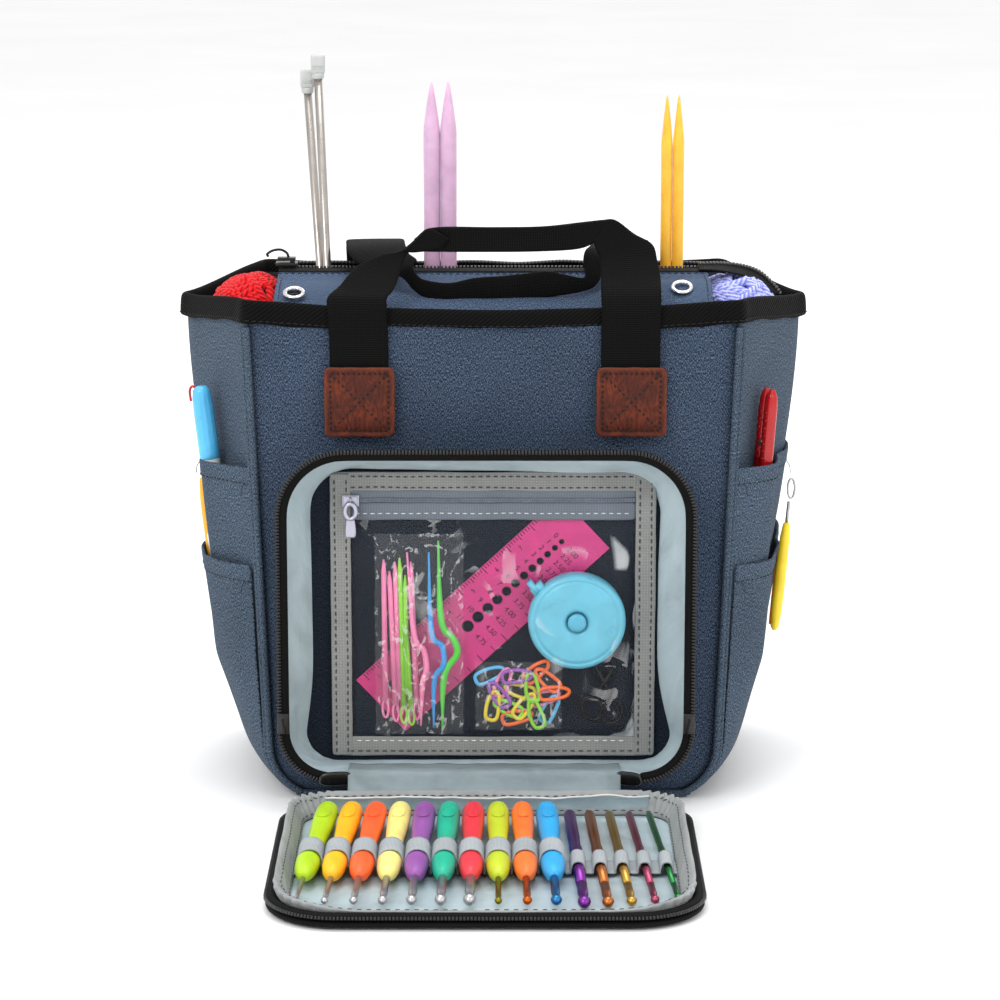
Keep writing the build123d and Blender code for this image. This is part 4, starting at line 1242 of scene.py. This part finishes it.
def ruler_marks():
    piece = Piece("ruler_ticks", MARK)
    for k in range(74):
        size = 4.2 if k % 10 == 0 else 3.0 if k % 5 == 0 else 1.9
        for edge in (1, -1) if k % 5 == 0 else (1,):
            piece.block(ruler_place(-66 + k * 1.65, edge * (18.2 - size / 2), 0.1), RULER_ALONG * 0.2,
                        RULER_ACROSS * (size / 2), (0, 0.03, 0))
    holes = [(55.5 - 4.6 * i - 0.12 * i * i, 1.15 + 0.15 * i) for i in range(12)]
    for u, r in holes:
        ring = [ruler_place(u + r * math.cos(t), 0.6 + r * math.sin(t), 0.06) for t in angles(18)]
        piece.tube(ring, 0.28, 4, loop=True)
    piece.build("bag")
    for i, (u, r) in enumerate(holes):
        write(f"ruler_mm_{i + 1}", f"{2 + 0.25 * i:.2f}", u, -6.4 - r, 4.0, -90)
        write(f"ruler_size_{i + 1}", f"{i}", u, 3.8 + r, 4.0, -90)
    for i in range(7):
        write(f"ruler_length_{i + 1}", f"{i + 1}", -61 + i * 16.5, 12.2, 3.6, 0)


TAPE_X, TAPE_Y, TAPE_Z = 42.5, -75.2, 95.8


def tape_measure():
    x, z = TAPE_X, TAPE_Z
    case = Piece("tape_measure_case", SKY)
    profile = [(0, 22.6), (0.5, 24.0), (1.6, 24.7), (4, 24.9), (8, 24.8), (9.6, 24.3), (10.6, 23.2),
               (10.9, 22.2), (10.5, 21.7), (10.5, 21.3), (11.0, 20.9), (11.2, 19.5), (11.2, 12),
               (11.15, 7.6), (10.8, 6.4), (9.6, 5.4), (7.3, 4.9)]
    case.lathe((x, TAPE_Y, z), (x, -100, z), profile, 56)
    case.block((x - 19.5, -80, z + 16.5), (2.6, 0, 2.2), (0, 3.2, 0), (-1.7, 0, 2.0))
    case.block((x - 22.0, -80, z + 17.6), (1.0, 0, 0.9), (0, 3.6, 0), (-2.4, 0, 2.8))
    case.build("bag", "tape_case", "sky")
    button = Piece("tape_measure_button", SKY_DEEP)
    button.lathe((x, -84.2, z), (x, -100, z),
                 [(0, 4.6), (2.2, 4.75), (3.0, 4.4), (3.35, 3.2), (3.4, 1.5), (3.4, 0.4)], 32)
    button.build("tape_button", "tape_button", "sky")


PINK_PLASTIC = plastic("needle_pink", rgb(242, 130, 178), 0.3, 0.3)
LIME_PLASTIC = plastic("needle_lime", rgb(140, 214, 40), 0.3, 0.3)
GREEN_PLASTIC = plastic("needle_green", rgb(80, 205, 60), 0.3, 0.3)
BLUE_PLASTIC = plastic("needle_blue", rgb(40, 150, 222), 0.3, 0.3)
ORANGE_PLASTIC = plastic("marker_orange", rgb(248, 104, 24), 0.3, 0.3)
VIOLET_PLASTIC = plastic("marker_violet", rgb(150, 80, 176), 0.3, 0.3)
YELLOW_PLASTIC = plastic("marker_yellow", rgb(232, 206, 30), 0.3, 0.3)
AQUA_PLASTIC = plastic("marker_aqua", rgb(84, 178, 226), 0.3, 0.3)


def small_needles():
    piece = Piece("yarn_needles", PINK_PLASTIC, LIME_PLASTIC, BLUE_PLASTIC, GREEN_PLASTIC)
    placed = [(-55.5, 127, -55.0, 44, 0), (-52.6, 121, -49.6, 42, 0), (-49.8, 126, -47.4, 45, 0),
              (-44.6, 119, -44.0, 47, 1), (-47.4, 128, -45.6, 41, 1), (-41.8, 126, -38.8, 43, 0),
              (-45.0, 100, -41.6, 40, 1)]
    for x0, z0, x1, z1, slot in placed:
        top, foot = Vector((x0, -78.4, z0)), Vector((x1, -78.2, z1))
        run = (foot - top).normalized()
        piece.tube([top, top + run * 6, foot - run * 9], [0.4, 1.3, 1.5], 8, slot)
        side = Vector((0, 1, 0)).cross(run).normalized()
        eye = [foot - run * 4.5 + run * 4.6 * math.cos(t) + side * 1.5 * math.sin(t) for t in angles(16)]
        piece.tube(eye, 0.62, 6, slot, loop=True)
    bends = [((-43.6, 131), (-40.2, 88), (-35.4, 80), (-34.0, 70), (-36, 62), (-37, 40), 0),
             ((-32.6, 131), (-31.4, 90), (-26, 82), (-25.4, 72), (-30, 64), (-30.4, 39), 2),
             ((-27.8, 137), (-26.4, 96), (-20.4, 86), (-18.4, 78), (-25, 66), (-26.0, 38), 3)]
    for *route, slot in bends:
        pts = spline([(x, -79.4 - 0.5 * i % 1, z) for i, (x, z) in enumerate(route)], 6)
        radii = [0.5 + (1.25 if slot == 3 else 1.0) * smooth(min(k, len(pts) - 1 - k) / 6)
                 for k in range(len(pts))]
        piece.tube(pts, radii, 10, slot)
    return piece.build("bag", "plastic_needles", "pink")


def film_bag(name, x0, x1, z0, z1, y, seed, corner=0.0):
    """A crumpled clear bag laid over small things."""
    rows = []
    for i in range(34):
        z = z0 + (z1 - z0) * i / 33
        row = []
        for k in range(26):
            s = k / 25
            x = x0 + (x1 - x0) * s + corner * i / 33
            puff = math.sin(math.pi * s) * math.sin(math.pi * i / 33)
            crumple = 0.9 * ripple(x / 6, z / 11, seed) + 0.5 * ripple(x / 2.5, z / 4, seed)
            row.append((x + 0.8 * ripple(z / 7, seed), y - 1.6 * puff - crumple,
                        z + 0.7 * ripple(x / 6, seed, 2)))
        rows.append(row)
    piece = Piece(name, FILM)
    piece.grid(rows)
    return piece.build("bag", slot="vinyl")


def stitch_markers():
    piece = Piece("stitch_marker_pins", ORANGE_PLASTIC, VIOLET_PLASTIC, LIME_PLASTIC, YELLOW_PLASTIC,
                  AQUA_PLASTIC, PINK_PLASTIC)
    spots = [(-2, 66, 0.4, 4), (5, 62, 1.2, 5), (3, 56, 2.2, 1), (12, 66, 0.1, 1), (14, 58, 2.9, 3),
             (22, 68, 0.7, 0), (28, 64, 2.4, 0),
             (20, 60, 1.7, 2), (26, 54, 0.3, 5), (8, 49, 2.7, 2), (16, 50, 0.9, 3), (22, 46, 1.9, 2),
             (29, 48, 1.1, 4), (12, 44, 0.2, 0),
             (0, 50, 1.4, 3), (31, 57, 0.1, 0)]
    for i, (x, z, turn, slot) in enumerate(spots):
        shape = [(-6.6, -2.4), (-7.4, 0), (-6.2, 2.8), (0, 3.4), (5.8, 2.2), (8.0, 0.3), (6.2, -1.9),
                 (3.0, -2.6), (-3.4, -3.1)]
        c, s = math.cos(turn), math.sin(turn)
        pts = [(x + a * c - b * s, -77.4 - 0.7 * (i % 4), z + a * s + b * c) for a, b in shape]
        piece.tube(spline(pts, 4, loop=True), 1.0, 7, slot, loop=True)
    return piece.build("bag", "stitch_markers", "orange")


def folding_scissors():
    """Small dark scissors at the window's lower right."""
    piece = Piece("window_scissors", DARK_METAL)
    for cx, cz, turn in ((50.5, 48, 0.5), (61.0, 46, -0.5)):
        ring = [(cx + 5.0 * math.cos(t) * math.cos(turn) - 6.4 * math.sin(t) * math.sin(turn), -75.6,
                 cz + 5.0 * math.cos(t) * math.sin(turn) + 6.4 * math.sin(t) * math.cos(turn))
                for t in angles(24)]
        piece.tube(ring, 1.0, 6, loop=True)
    for blade in ([(53, -75.6, 54), (55.5, -75.6, 60), (59.5, -75.6, 66), (62, -75.6, 73)],
                  [(59, -75.2, 52), (57.5, -75.2, 60), (54, -75.2, 67), (51, -75.2, 73)]):
        piece.tube(spline(blade, 4), [1.0] * 4 + [1.4] * 5 + [0.5] * 4, 6)
    return piece.build("bag")


ruler_marks()
tape_measure()
small_needles()
film_bag("needle_bag_film", -60, -15, 36, 141, -80.8, 3.0)
stitch_markers()
film_bag("marker_bag_film", -9, 35, 38, 74, -80.6, 8.0)
folding_scissors()

# ---------------------------------------------------------------- the open door
DOOR_X, DOOR_FAR, DOOR_NEAR, DOOR_MID_Y, DOOR_HALF = POCKET_X, -105.5, -277.5, -190, 103.0
BAND_Y = -206


def door_ring(inset, far=None):
    """Door outline seen from above, anticlockwise from the near middle."""
    far = inset if far is None else far
    half = DOOR_HALF - inset
    return frame_path(DOOR_X, half, DOOR_NEAR + inset, DOOR_FAR - far, 28 - inset, 35 - inset)


def zip_run(inset):
    """The door outline without its hinge side."""
    ring = door_ring(inset)
    return ring[41:] + ring[:32]


def corner_share(x, y):
    """1 in the door's rounded corners, 0 along its straight sides."""
    cx = smooth((abs(x - DOOR_X) - 66) / 22)
    near, far = smooth((-232 - y) / 25), smooth((y + 145) / 22)
    return cx * max(near, far)


def door():
    shell = Piece("door_cloth", DENIM, ZIP_CLOTH)
    profile = [(9, 0.3), (3, 0.35), (0.9, 0.9), (0.1, 2.1), (0.6, 3.5), (2.6, 4.0), (7, 4.1)]
    rows = [[(x, y, z) for x, y in door_ring(inset)] for inset, z in profile]
    shell.grid(rows[:2], closed=True)
    shell.grid(rows[1:], closed=True, slot=1)
    shell.fan(rows[0])
    shell.fan(rows[-1])
    shell.flat_uvs(0, 1)
    shell.build("door", "door_panel", "denim", subdiv=1)

    tape = Piece("door_zip_cloth", ZIP_CLOTH)
    profile = [(4.6, 4.3), (1.2, 4.3), (0.4, 5.0), (0.8, 6.4), (2.4, 7.3), (4.6, 7.6), (5.2, 6.0)]
    rows = [[(x, y, z) for x, y in zip_run(inset)] for inset, z in profile]
    tape.sleeve(rows)
    tape.build("door", "door_zip_tape", "zip", subdiv=1)
    teeth = Piece("door_zip_teeth", TEETH)
    teeth.teeth([(x, y, 5.7) for x, y in zip_run(0.7)],
                lambda p: (p.x - DOOR_X, p.y - DOOR_MID_Y, 0.15 * (abs(p.x) + 60)), 1.7, (0.55, 1.0, 0.75))
    teeth.build("door")

    def height(x, y):
        """The border stands up at the hinge and lies down at the near edge."""
        near = smooth((-222 - y) / 40)
        return 1 - near * (0.72 - 0.3 * smooth((abs(x - DOOR_X) - 55) / 35))

    def border_point(x, y, k, z):
        corner = corner_share(x, y)
        tall = height(x, y)
        pleat = math.sin(k * 4.8) * 1.3 * corner + 0.9 * ripple(k / 2.2, z / 7, 2)
        out = Vector((x - DOOR_X, y - DOOR_MID_Y, 0)).normalized()
        p = Vector((x, y, 4.6 + (z - 4.6) * tall)) + out * (pleat * smooth((z - 5) / 6) * 0.8)
        p.z += (0.8 * ripple(k / 2.6, 3.3) + 0.5 * pleat * corner) * smooth((z - 6) / 8) * tall
        return p

    border = Piece("door_border_pad", BORDER)
    section = [(13.6, 5.0), (11.6, 7.6), (9.6, 11), (7.8, 14), (6.2, 16.2), (4.7, 16.3), (4.4, 14.6),
               (5.2, 11.6), (5.8, 8.4), (6.6, 5.0)]
    rows = []
    for inset, z in section:
        dense = spline(door_ring(inset, inset + 3.6), 4, loop=True)
        rows.append([border_point(x, y, k / 4, z) for k, (x, y) in enumerate(dense)])
    border.grid(rows + [rows[0]], closed=True)
    pad = border.build("door", "door_border", "grey_tape", subdiv=1)
    thread = Piece("door_border_stitches", GREY_THREAD)
    for row, gap in ((rows[1], 2.0), (rows[3], 2.0)):
        lifted = [p + Vector((0, 0, 0.15))
                  + Vector((DOOR_X - p.x, DOOR_MID_Y - p.y, 0)).normalized() * 0.35 for p in row[::2]]
        thread.stitches(lifted, 2.4, gap, 0.24)
    thread.build("door")

    lining = Piece("door_lining_cloth", LINING)
    rows = []
    for s in np.linspace(1, 0.04, 30):
        ring = []
        for x, y in spline(door_ring(12.0, 15.5), 3, loop=True):
            px, py = DOOR_X + (x - DOOR_X) * s, DOOR_MID_Y + (y - DOOR_MID_Y) * s
            lift = 0.9 * ripple(px / 14, py / 30, 1) + 0.5 * ripple((px + 0.4 * py) / 7, py / 25, 4)
            ring.append((px, py, 5.0 + max(-0.5, lift) * smooth((1 - s) / 0.1)))
        rows.append(ring)
    lining.grid(rows, closed=True)
    lining.fan(rows[-1])
    lining.flat_uvs(0, 1)
    lining.build("door", "door_lining", "lining")

    flap = Piece("grip_flap_cloth", LINING)
    rows = []
    for t in np.linspace(0, 1, 9):
        row = []
        for x in np.linspace(-84, 78, 90):
            sag = 1.6 * ripple(x / 24, 0.5) + 1.1 * ripple(x / 10, 4.2) + 1.4 * smooth((x - 10) / 40)
            row.append((x, -119.4 - 4.6 * t * t + 1.5 * t * ripple(x / 11, t, 5) - 0.8 * t * sag,
                        5.6 + (9.6 + 0.9 * sag) * t))
        rows.append(row)
    flap.grid(rows)
    sheet = flap.build("door", slot="lining", solid=0.5)
    edge = Piece("grip_flap_edge", PALE_THREAD)
    edge.tube(rows[-1], 0.5, 6)
    edge.build("door")

    hinge = Piece("hinge_cloth", HINGE_CLOTH)
    side = (-73.5, 64.5)
    route = [(-80, 19.6), (-88, 20.6), (-94, 21.6), (-99, 22.2), (-101.6, 20.8), (-103.0, 17.6), (-105, 14.4),
             (-108.5, 12.8), (-112.5, 12.4), (-115.0, 11.0)]
    rows = [[(x, y + 0.5 * ripple(x / 8, i), z + 0.5 * ripple(x / 10, i / 2, 5))
             for x in np.linspace(*side, 50)]
            for i, (y, z) in enumerate(spline(route, 3))]
    hinge.grid(rows)
    cloth = hinge.build(None, "hinge_strip", "lining", solid=0.6)
    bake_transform(cloth)

    strap = Piece("hook_elastic", ELASTIC)
    places = [(hook_x(i) + fan(hook_x(i), BAND_Y), 13.0, 6.15) for i in range(10)]
    places += [(slim_x(i) + fan(slim_x(i), BAND_Y), 9.4, 3.5 - 0.1 * i) for i in range(5)]
    route = [(-99.5, 5.9), (-96.6, 6.0)]
    for x, z, r in places:
        low = 6.1 if r > 5 else 6.0
        route += [(x - r - 0.1, low + 1.2), (x - r, z - 1.0), (x - 0.72 * r, z + 0.7 * r), (x, z + r),
                  (x + 0.72 * r, z + 0.7 * r), (x + r, z - 1.0), (x + r + 0.1, low + 1.2)]
    route += [(94.5, 6.0), (96.5, 5.9)]
    line = spline(route, 3)
    rows = [[(x, y, z + 0.15 * ripple(x / 2, y)) for y in np.linspace(-217, -199, 9)] for x, z in line]
    strap.grid(rows)
    strap.build("door", "hook_band", "grey_tape", solid=0.8)


def hook_x(i):
    return -86.6 + 12.75 * i


def slim_x(i):
    return 40.5 + 10.5 * i


def fan(x, y):
    """The hooks spread a little towards the near edge."""
    return x * 0.0008 * (BAND_Y - y)


GRIPS = [("lime", (176, 214, 20)), ("amber", (252, 186, 20)), ("orange_red", (250, 96, 40)),
         ("cream", (246, 232, 134)), ("violet", (146, 82, 160)), ("teal", (20, 176, 142)),
         ("red", (232, 52, 66)), ("lime", (190, 208, 40)), ("orange", (250, 118, 44)),
         ("sky", (44, 164, 224))]
SHAFTS = [None] * 7 + [(132, 124, 40), (196, 92, 30), (52, 120, 176)]


def hook_end(piece, x, y0, y1, z, r, slot, drop=0.0):
    """Shaft with a throat cut and a round head, pointing towards the near edge."""
    length = y0 - y1
    start = Vector((x + fan(x, y0), y0, z))
    end = Vector((x + fan(x, y1), y1, z - drop))
    head = 1.25 * r
    profile = [(0, r), (length - 5.2 * r, r), (length - 4.4 * r, r * 0.86), (length - 3.0 * r, r * 0.62),
               (length - 2.4 * r, r * 0.66), (length - 2.0 * r, head * 0.86), (length - 1.4 * r, head),
               (length - 0.7 * r, head * 0.86), (length - 0.2 * r, head * 0.45), (length, 0.1)]
    piece.lathe(start, end, profile, 14, slot)


GRIP_FAR, GRIP_NEAR, HOOK_NEAR, HOOK_TIP = -133, -237, -236, -266
SLIM_FAR, SLIM_NEAR = -131, -240


def hooks():
    """Ten hooks with soft grips, then five slim metal ones."""
    for i, ((word, colour), metal_colour) in enumerate(zip(GRIPS, SHAFTS)):
        x = hook_x(i)
        soft = plastic(f"grip_{i + 1}", rgb(*colour), 0.42, 0.15)
        steel = SILVER if metal_colour is None else metal(f"shaft_{i + 1}", rgb(*metal_colour), 0.28)
        piece = Piece(f"crochet_hook_{i + 1:02d}_shape", soft, steel)
        start = Vector((x + fan(x, GRIP_FAR), GRIP_FAR, 13))
        end = Vector((x + fan(x, GRIP_NEAR), GRIP_NEAR, 12.2))
        profile = [(0, 0.6), (0.5, 2.4), (1.8, 3.9), (4.5, 5.0), (9, 5.55), (22, 5.6), (36, 5.1), (48, 4.5),
                   (58, 4.35), (66, 4.9), (74, 5.7), (84, 5.9), (92, 5.5), (98, 4.6), (102, 3.3),
                   (103.6, 2.2), (104, 1.4)]
        piece.lathe(start, end, profile, 22)
        rest = []
        for s in angles(24):
            yy = -155 + 9.0 * math.cos(s)
            rest.append((x + fan(x, yy) + 3.0 * math.sin(s), yy,
                         12.95 + math.sqrt(5.5**2 - (3.0 * math.sin(s)) ** 2)))
        piece.tube(rest, 0.32, 5, loop=True)
        r = 1.2 + 0.2 * i if i < 7 else 1.4 + 0.35 * (i - 7)
        hook_end(piece, x, HOOK_NEAR, HOOK_TIP, 11.2, r, 1, 1.4)
        piece.build("door", f"crochet_hook_{i + 1:02d}", word)
    tones = [("slim_purple", (128, 62, 150)), ("slim_copper", (186, 112, 62)), ("slim_gold", (190, 150, 70)),
             ("slim_rose", (168, 78, 104)), ("slim_green", (52, 128, 74))]
    paints = [metal(name, rgb(*c), 0.28) for name, c in tones]
    piece = Piece("slim_hook_set", *paints)
    for i in range(5):
        x, tip, r = slim_x(i), HOOK_TIP + 0.5 * i**2, 3.0 - 0.33 * i
        start = Vector((x + fan(x, SLIM_FAR), SLIM_FAR, 9.4))
        end = Vector((x + fan(x, SLIM_NEAR), SLIM_NEAR, 9.2))
        piece.lathe(start, end, [(0, 0.3), (1, r * 0.8), (3, r), (40, r), (52, r * 0.92), (56, r * 1.06),
                                 (72, r * 1.06), (78, r * 0.9), (109.2, r * 0.86)], 14, i)
        hook_end(piece, x, -239, tip, 9.2, r * 0.84, i, 0.5)
    piece.build("door", "slim_hooks", "anodised")


hooks()
door()


# ---------------------------------------------------------------- needles, yarn and side tools
PURPLE_NEEDLE = plastic("purple_needle_plastic", rgb(214, 178, 208), 0.22, 0.5)
YELLOW_NEEDLE = plastic("yellow_needle_plastic", rgb(255, 196, 62), 0.22, 0.5)
CAP_GREY = plastic("needle_cap_grey", rgb(188, 190, 188), 0.4, 0.1)
NEEDLE_Y, NEEDLE_FOOT = 15, 8


def needles():
    steel = Piece("steel_needle_pair", STEEL, CAP_GREY)
    for foot_x, top_x, y, top in ((-78.0, -90.8, 12.5, 364), (-76.0, -96.6, 18.0, 356)):
        steel.tube([(foot_x, y, 8), (top_x, y, top)], 2.15, 16)
        steel.lathe((top_x, y, top - 2.5), (top_x, y, top + 20),
                    [(0, 2.6), (0.6, 3.1), (2.6, 3.2), (3.0, 3.0)], 16, 1)
        c = Vector((top_x, y, top + 5.4))
        rows = []
        for dz, w, d in ((-5.2, 0.80, 0.8), (-4.6, 0.97, 0.97), (-3, 1, 1), (3.2, 1.0, 1), (4.3, 0.97, 0.92),
                         (4.7, 0.8, 0.7)):
            ring = []
            for a in angles(28):
                q = squircle(a, 6)
                ring.append(c + Vector((math.cos(a) * q * 3.65 * w, math.sin(a) * q * 2.45 * d, dz)))
            rows.append(ring)
        steel.grid(rows, closed=True, slot=1).fan(rows[0], 1).fan(rows[-1], 1)
        for dz in (-2.4, -1.2):
            steel.block(c + Vector((0, -2.45, dz)), (2.6, 0, 0), (0, 0.18, 0), (0, 0, 0.22), 1)
    steel.build("steel_needles", "steel_needles", "steel")
    for name, x0, pitch, r, top, paint, body in (
            ("purple_needle_pair", -32.1, 8.7, 4.3, 360, PURPLE_NEEDLE, "purple_needles"),
            ("yellow_needle_pair", 90.5, 6.1, 3.0, 353, YELLOW_NEEDLE, "yellow_needles")):
        piece = Piece(name, paint)
        for i in range(2):
            x = x0 + i * pitch
            length = top - NEEDLE_FOOT
            profile = [(0, r * 0.5), (2, r * 0.95), (4, r), (length - 27, r), (length - 24, r * 0.96),
                       (length - 14, r * 0.66), (length - 6, r * 0.36), (length - 1.5, r * 0.18),
                       (length, 0.15)]
            piece.lathe((x, NEEDLE_Y, NEEDLE_FOOT), (x, NEEDLE_Y, 400), profile, 24)
        piece.build(body, body, body.split("_")[0])


YARN_Y, YARN_Z, CORE_RADIUS, WOUND_RADIUS, STRAND_RADIUS = -6, 236, 23, 24.6, 2.3


def yarn(name, x, paint, replaces, slot, seed):
    """A ball of chunky yarn: a core and many wound strands."""
    rnd = random.Random(seed)
    piece = Piece(name, paint)
    centre = Vector((x, YARN_Y, YARN_Z))
    core = []
    for i in range(9):
        a = math.pi * (i + 0.5) / 9
        core.append([centre + Vector((math.sin(a) * math.cos(b), math.sin(a) * math.sin(b), math.cos(a)))
                     * CORE_RADIUS for b in angles(18)])
    piece.grid(core, closed=True)
    for w in range(40):
        tilt = Vector((rnd.uniform(-0.35, 0.35) + (0.5 if w % 3 else -0.6), rnd.uniform(-0.4, 0.4),
                       rnd.uniform(0.5, 1.0))).normalized()
        if w % 4 == 0:
            tilt = Vector((rnd.uniform(-1, 1), rnd.uniform(-1, 1), rnd.uniform(-0.3, 0.5))).normalized()
        a = tilt.orthogonal().normalized()
        b = tilt.cross(a)
        shift = rnd.uniform(-0.75, 0.75) * 21
        r = math.sqrt(max(6.0**2, WOUND_RADIUS**2 - shift**2))
        ring = []
        for t in angles(30):
            wob = 0.5 * math.sin(3 * t + w)
            ring.append(centre + tilt * (shift + wob)
                        + (a * math.cos(t) + b * math.sin(t)) * (r + 0.5 * math.sin(2 * t + w)))
        piece.tube(ring, STRAND_RADIUS, 8, loop=True)
    return piece.build("bag", replaces, slot)


def side_tool_point(side, t, gap, z):
    low, high = side_point(100.0, t, gap), side_point(220.0, t, gap)
    share = (z - 100) / 120
    return Vector((side * (low[0] + share * (high[0] - low[0])), low[1] + share * (high[1] - low[1]), z))


def side_tools():
    white = plastic("pen_white", rgb(240, 240, 240), 0.3)
    sky = plastic("pen_cap_blue", rgb(88, 188, 238), 0.28, 0.2)
    red = plastic("pen_tip_red", rgb(200, 30, 34), 0.3)
    pen = Piece("marker_pen_shape", white, sky, red)
    a, b = side_tool_point(-1, 0.5, 7.6, 96), side_tool_point(-1, 0.5, 7.6, 211) + Vector((-3.2, 0, 0))
    pen.lathe(a, b, [(0, 3.0), (1, 4.6), (3, 5.0), (84, 5.0), (85, 4.8)], 24)
    rows = []
    axis = (b - a).normalized()
    n = axis.orthogonal().normalized()
    m = axis.cross(n)
    for d, r in ((76, 5.0), (77, 5.25), (81, 5.3), (102, 5.15), (109, 4.8), (112, 4.2), (113.6, 3.0),
                 (114, 1.2)):
        ring = []
        for t in angles(48):
            rib = 0.16 * math.cos(12 * t) * smooth((d - 81) / 6) * smooth((112 - d) / 4)
            ring.append(a + axis * d + (n * math.cos(t) + m * math.sin(t)) * (r + rib))
        rows.append(ring)
    pen.grid(rows, closed=True, slot=1).fan(rows[-1], 1)
    tip = [a + axis * d + Vector((-off, 0.5, 0))
           for d, off in ((113.0, 2.6), (113.6, 4.6), (111.0, 6.0), (106.0, 6.0))]
    pen.tube(spline(tip, 4), 1.1, 8, 2, flat=0.6)
    pen.build("marker_pen", "marker_pen", "sky")

    amber = plastic("pencil_amber", rgb(250, 178, 40), 0.3)
    navy = plastic("pencil_navy", rgb(30, 40, 80), 0.35)
    pencil = Piece("pencil_shape", amber, white, navy)
    a, b = side_tool_point(-1, 0.76, 8.4, 80), side_tool_point(-1, 0.76, 8.6, 158)
    pencil.lathe(a, b, [(0, 2.3), (1, 2.6), (64, 2.6), (69, 2.4), (77.5, 1.4), (78, 0.5)], 10)
    pencil.lathe(a + Vector((0, -5.4, 10)), b + Vector((0, -5.4, 0)), [(0, 1.2), (38, 1.2), (39, 0.9)], 10, 1)
    pencil.lathe(a + Vector((0, -5.4, 6)), b + Vector((0, -5.4, 0)), [(0, 1.5), (24, 1.5)], 10, 2)
    pencil.build("pencil", "pencil", "amber")

    clear_red = plastic("scissors_red", rgb(196, 16, 20), 0.16, 0.2, Transmission_Weight=0.25)
    scissors = Piece("red_scissors_shape", clear_red, STEEL)
    a, b = side_tool_point(1, 0.36, 6.8, 104), side_tool_point(1, 0.36, 6.8, 210)
    axis = (b - a).normalized()
    across = Vector((0.5, -0.86, 0)).normalized()
    across = (across - axis * across.dot(axis)).normalized()
    facing = axis.cross(across)
    for s in (-1, 1):
        mid = a + across * s * 2.5
        rows = []
        for d, w, h in ((0, 1.4, 1.6), (4, 2.2, 2.6), (30, 2.4, 3.0), (72, 2.5, 3.1), (96, 2.5, 3.1),
                        (102, 2.3, 2.6), (106, 1.0, 1.2)):
            ring = []
            for t in angles(20):
                q = squircle(t, 4)
                ring.append(mid + axis * d + across * (w * q * math.cos(t)) + facing * (h * q * math.sin(t)))
            rows.append(ring)
        scissors.grid(rows, closed=True).fan(rows[0]).fan(rows[-1])
        for j in range(7):
            c = mid + axis * (70 + 4 * j) + facing * 3.1 * (1 if facing.y < 0 else -1)
            scissors.block(c, across * 1.4, axis * 0.6, facing * 0.25)
    scissors.lathe(a + axis * 78 - facing * 3.4, a + axis * 78 + facing * 3.4,
                   [(0, 1.2), (0.4, 1.8), (6.4, 1.8), (6.8, 1.2)], 14, 1)
    scissors.build("red_scissors", "red_scissors", "translucent_red")

    yellow = plastic("snips_yellow", rgb(250, 214, 40), 0.3)
    orange = plastic("snips_orange", rgb(248, 120, 30), 0.3)
    green = plastic("snips_green", rgb(40, 150, 90), 0.3)
    snips = Piece("thread_snips_shape", yellow, orange, green, SILVER)
    a, b = side_tool_point(1, 0.64, 15.6, 78), side_tool_point(1, 0.64, 15.6, 136)
    top = side_tool_point(1, 0.64, 15.6, 158)
    snips.lathe(a, b, [(0, 1.0), (2, 2.2), (10, 2.9), (30, 3.0), (50, 2.6), (57, 1.8), (58, 1.2)], 18)
    snips.tube([a + Vector((-2.4, 0.6, 3)), (a + b) / 2 + Vector((-2.6, 0.6, 0)),
                b + Vector((-1.6, 0.4, -4))], [0.6, 1.1, 0.6], 8, 1)
    snips.tube([b, (b + top) / 2], 0.9, 8, 3)
    ring = [top + Vector((0, 0, -4)) + Vector((1.9 * math.cos(t), 0.6 * math.cos(t), 5.2 * math.sin(t)))
            for t in angles(20)]
    snips.tube(ring, 0.6, 6, 3, loop=True)
    snips.build("thread_snips", "thread_snips", "yellow")


needles()
yarn("red_yarn_ball", -124, wool("red_wool", rgb(136, 4, 10), rgb(216, 8, 20), rgb(240, 34, 40)), "red_yarn",
     "yarn_red", 3)
yarn("lavender_yarn_ball", 124,
     wool("lavender_wool", rgb(112, 116, 206), rgb(166, 172, 246), rgb(204, 210, 255)),
     "lavender_yarn", "yarn_lavender", 5)
side_tools()
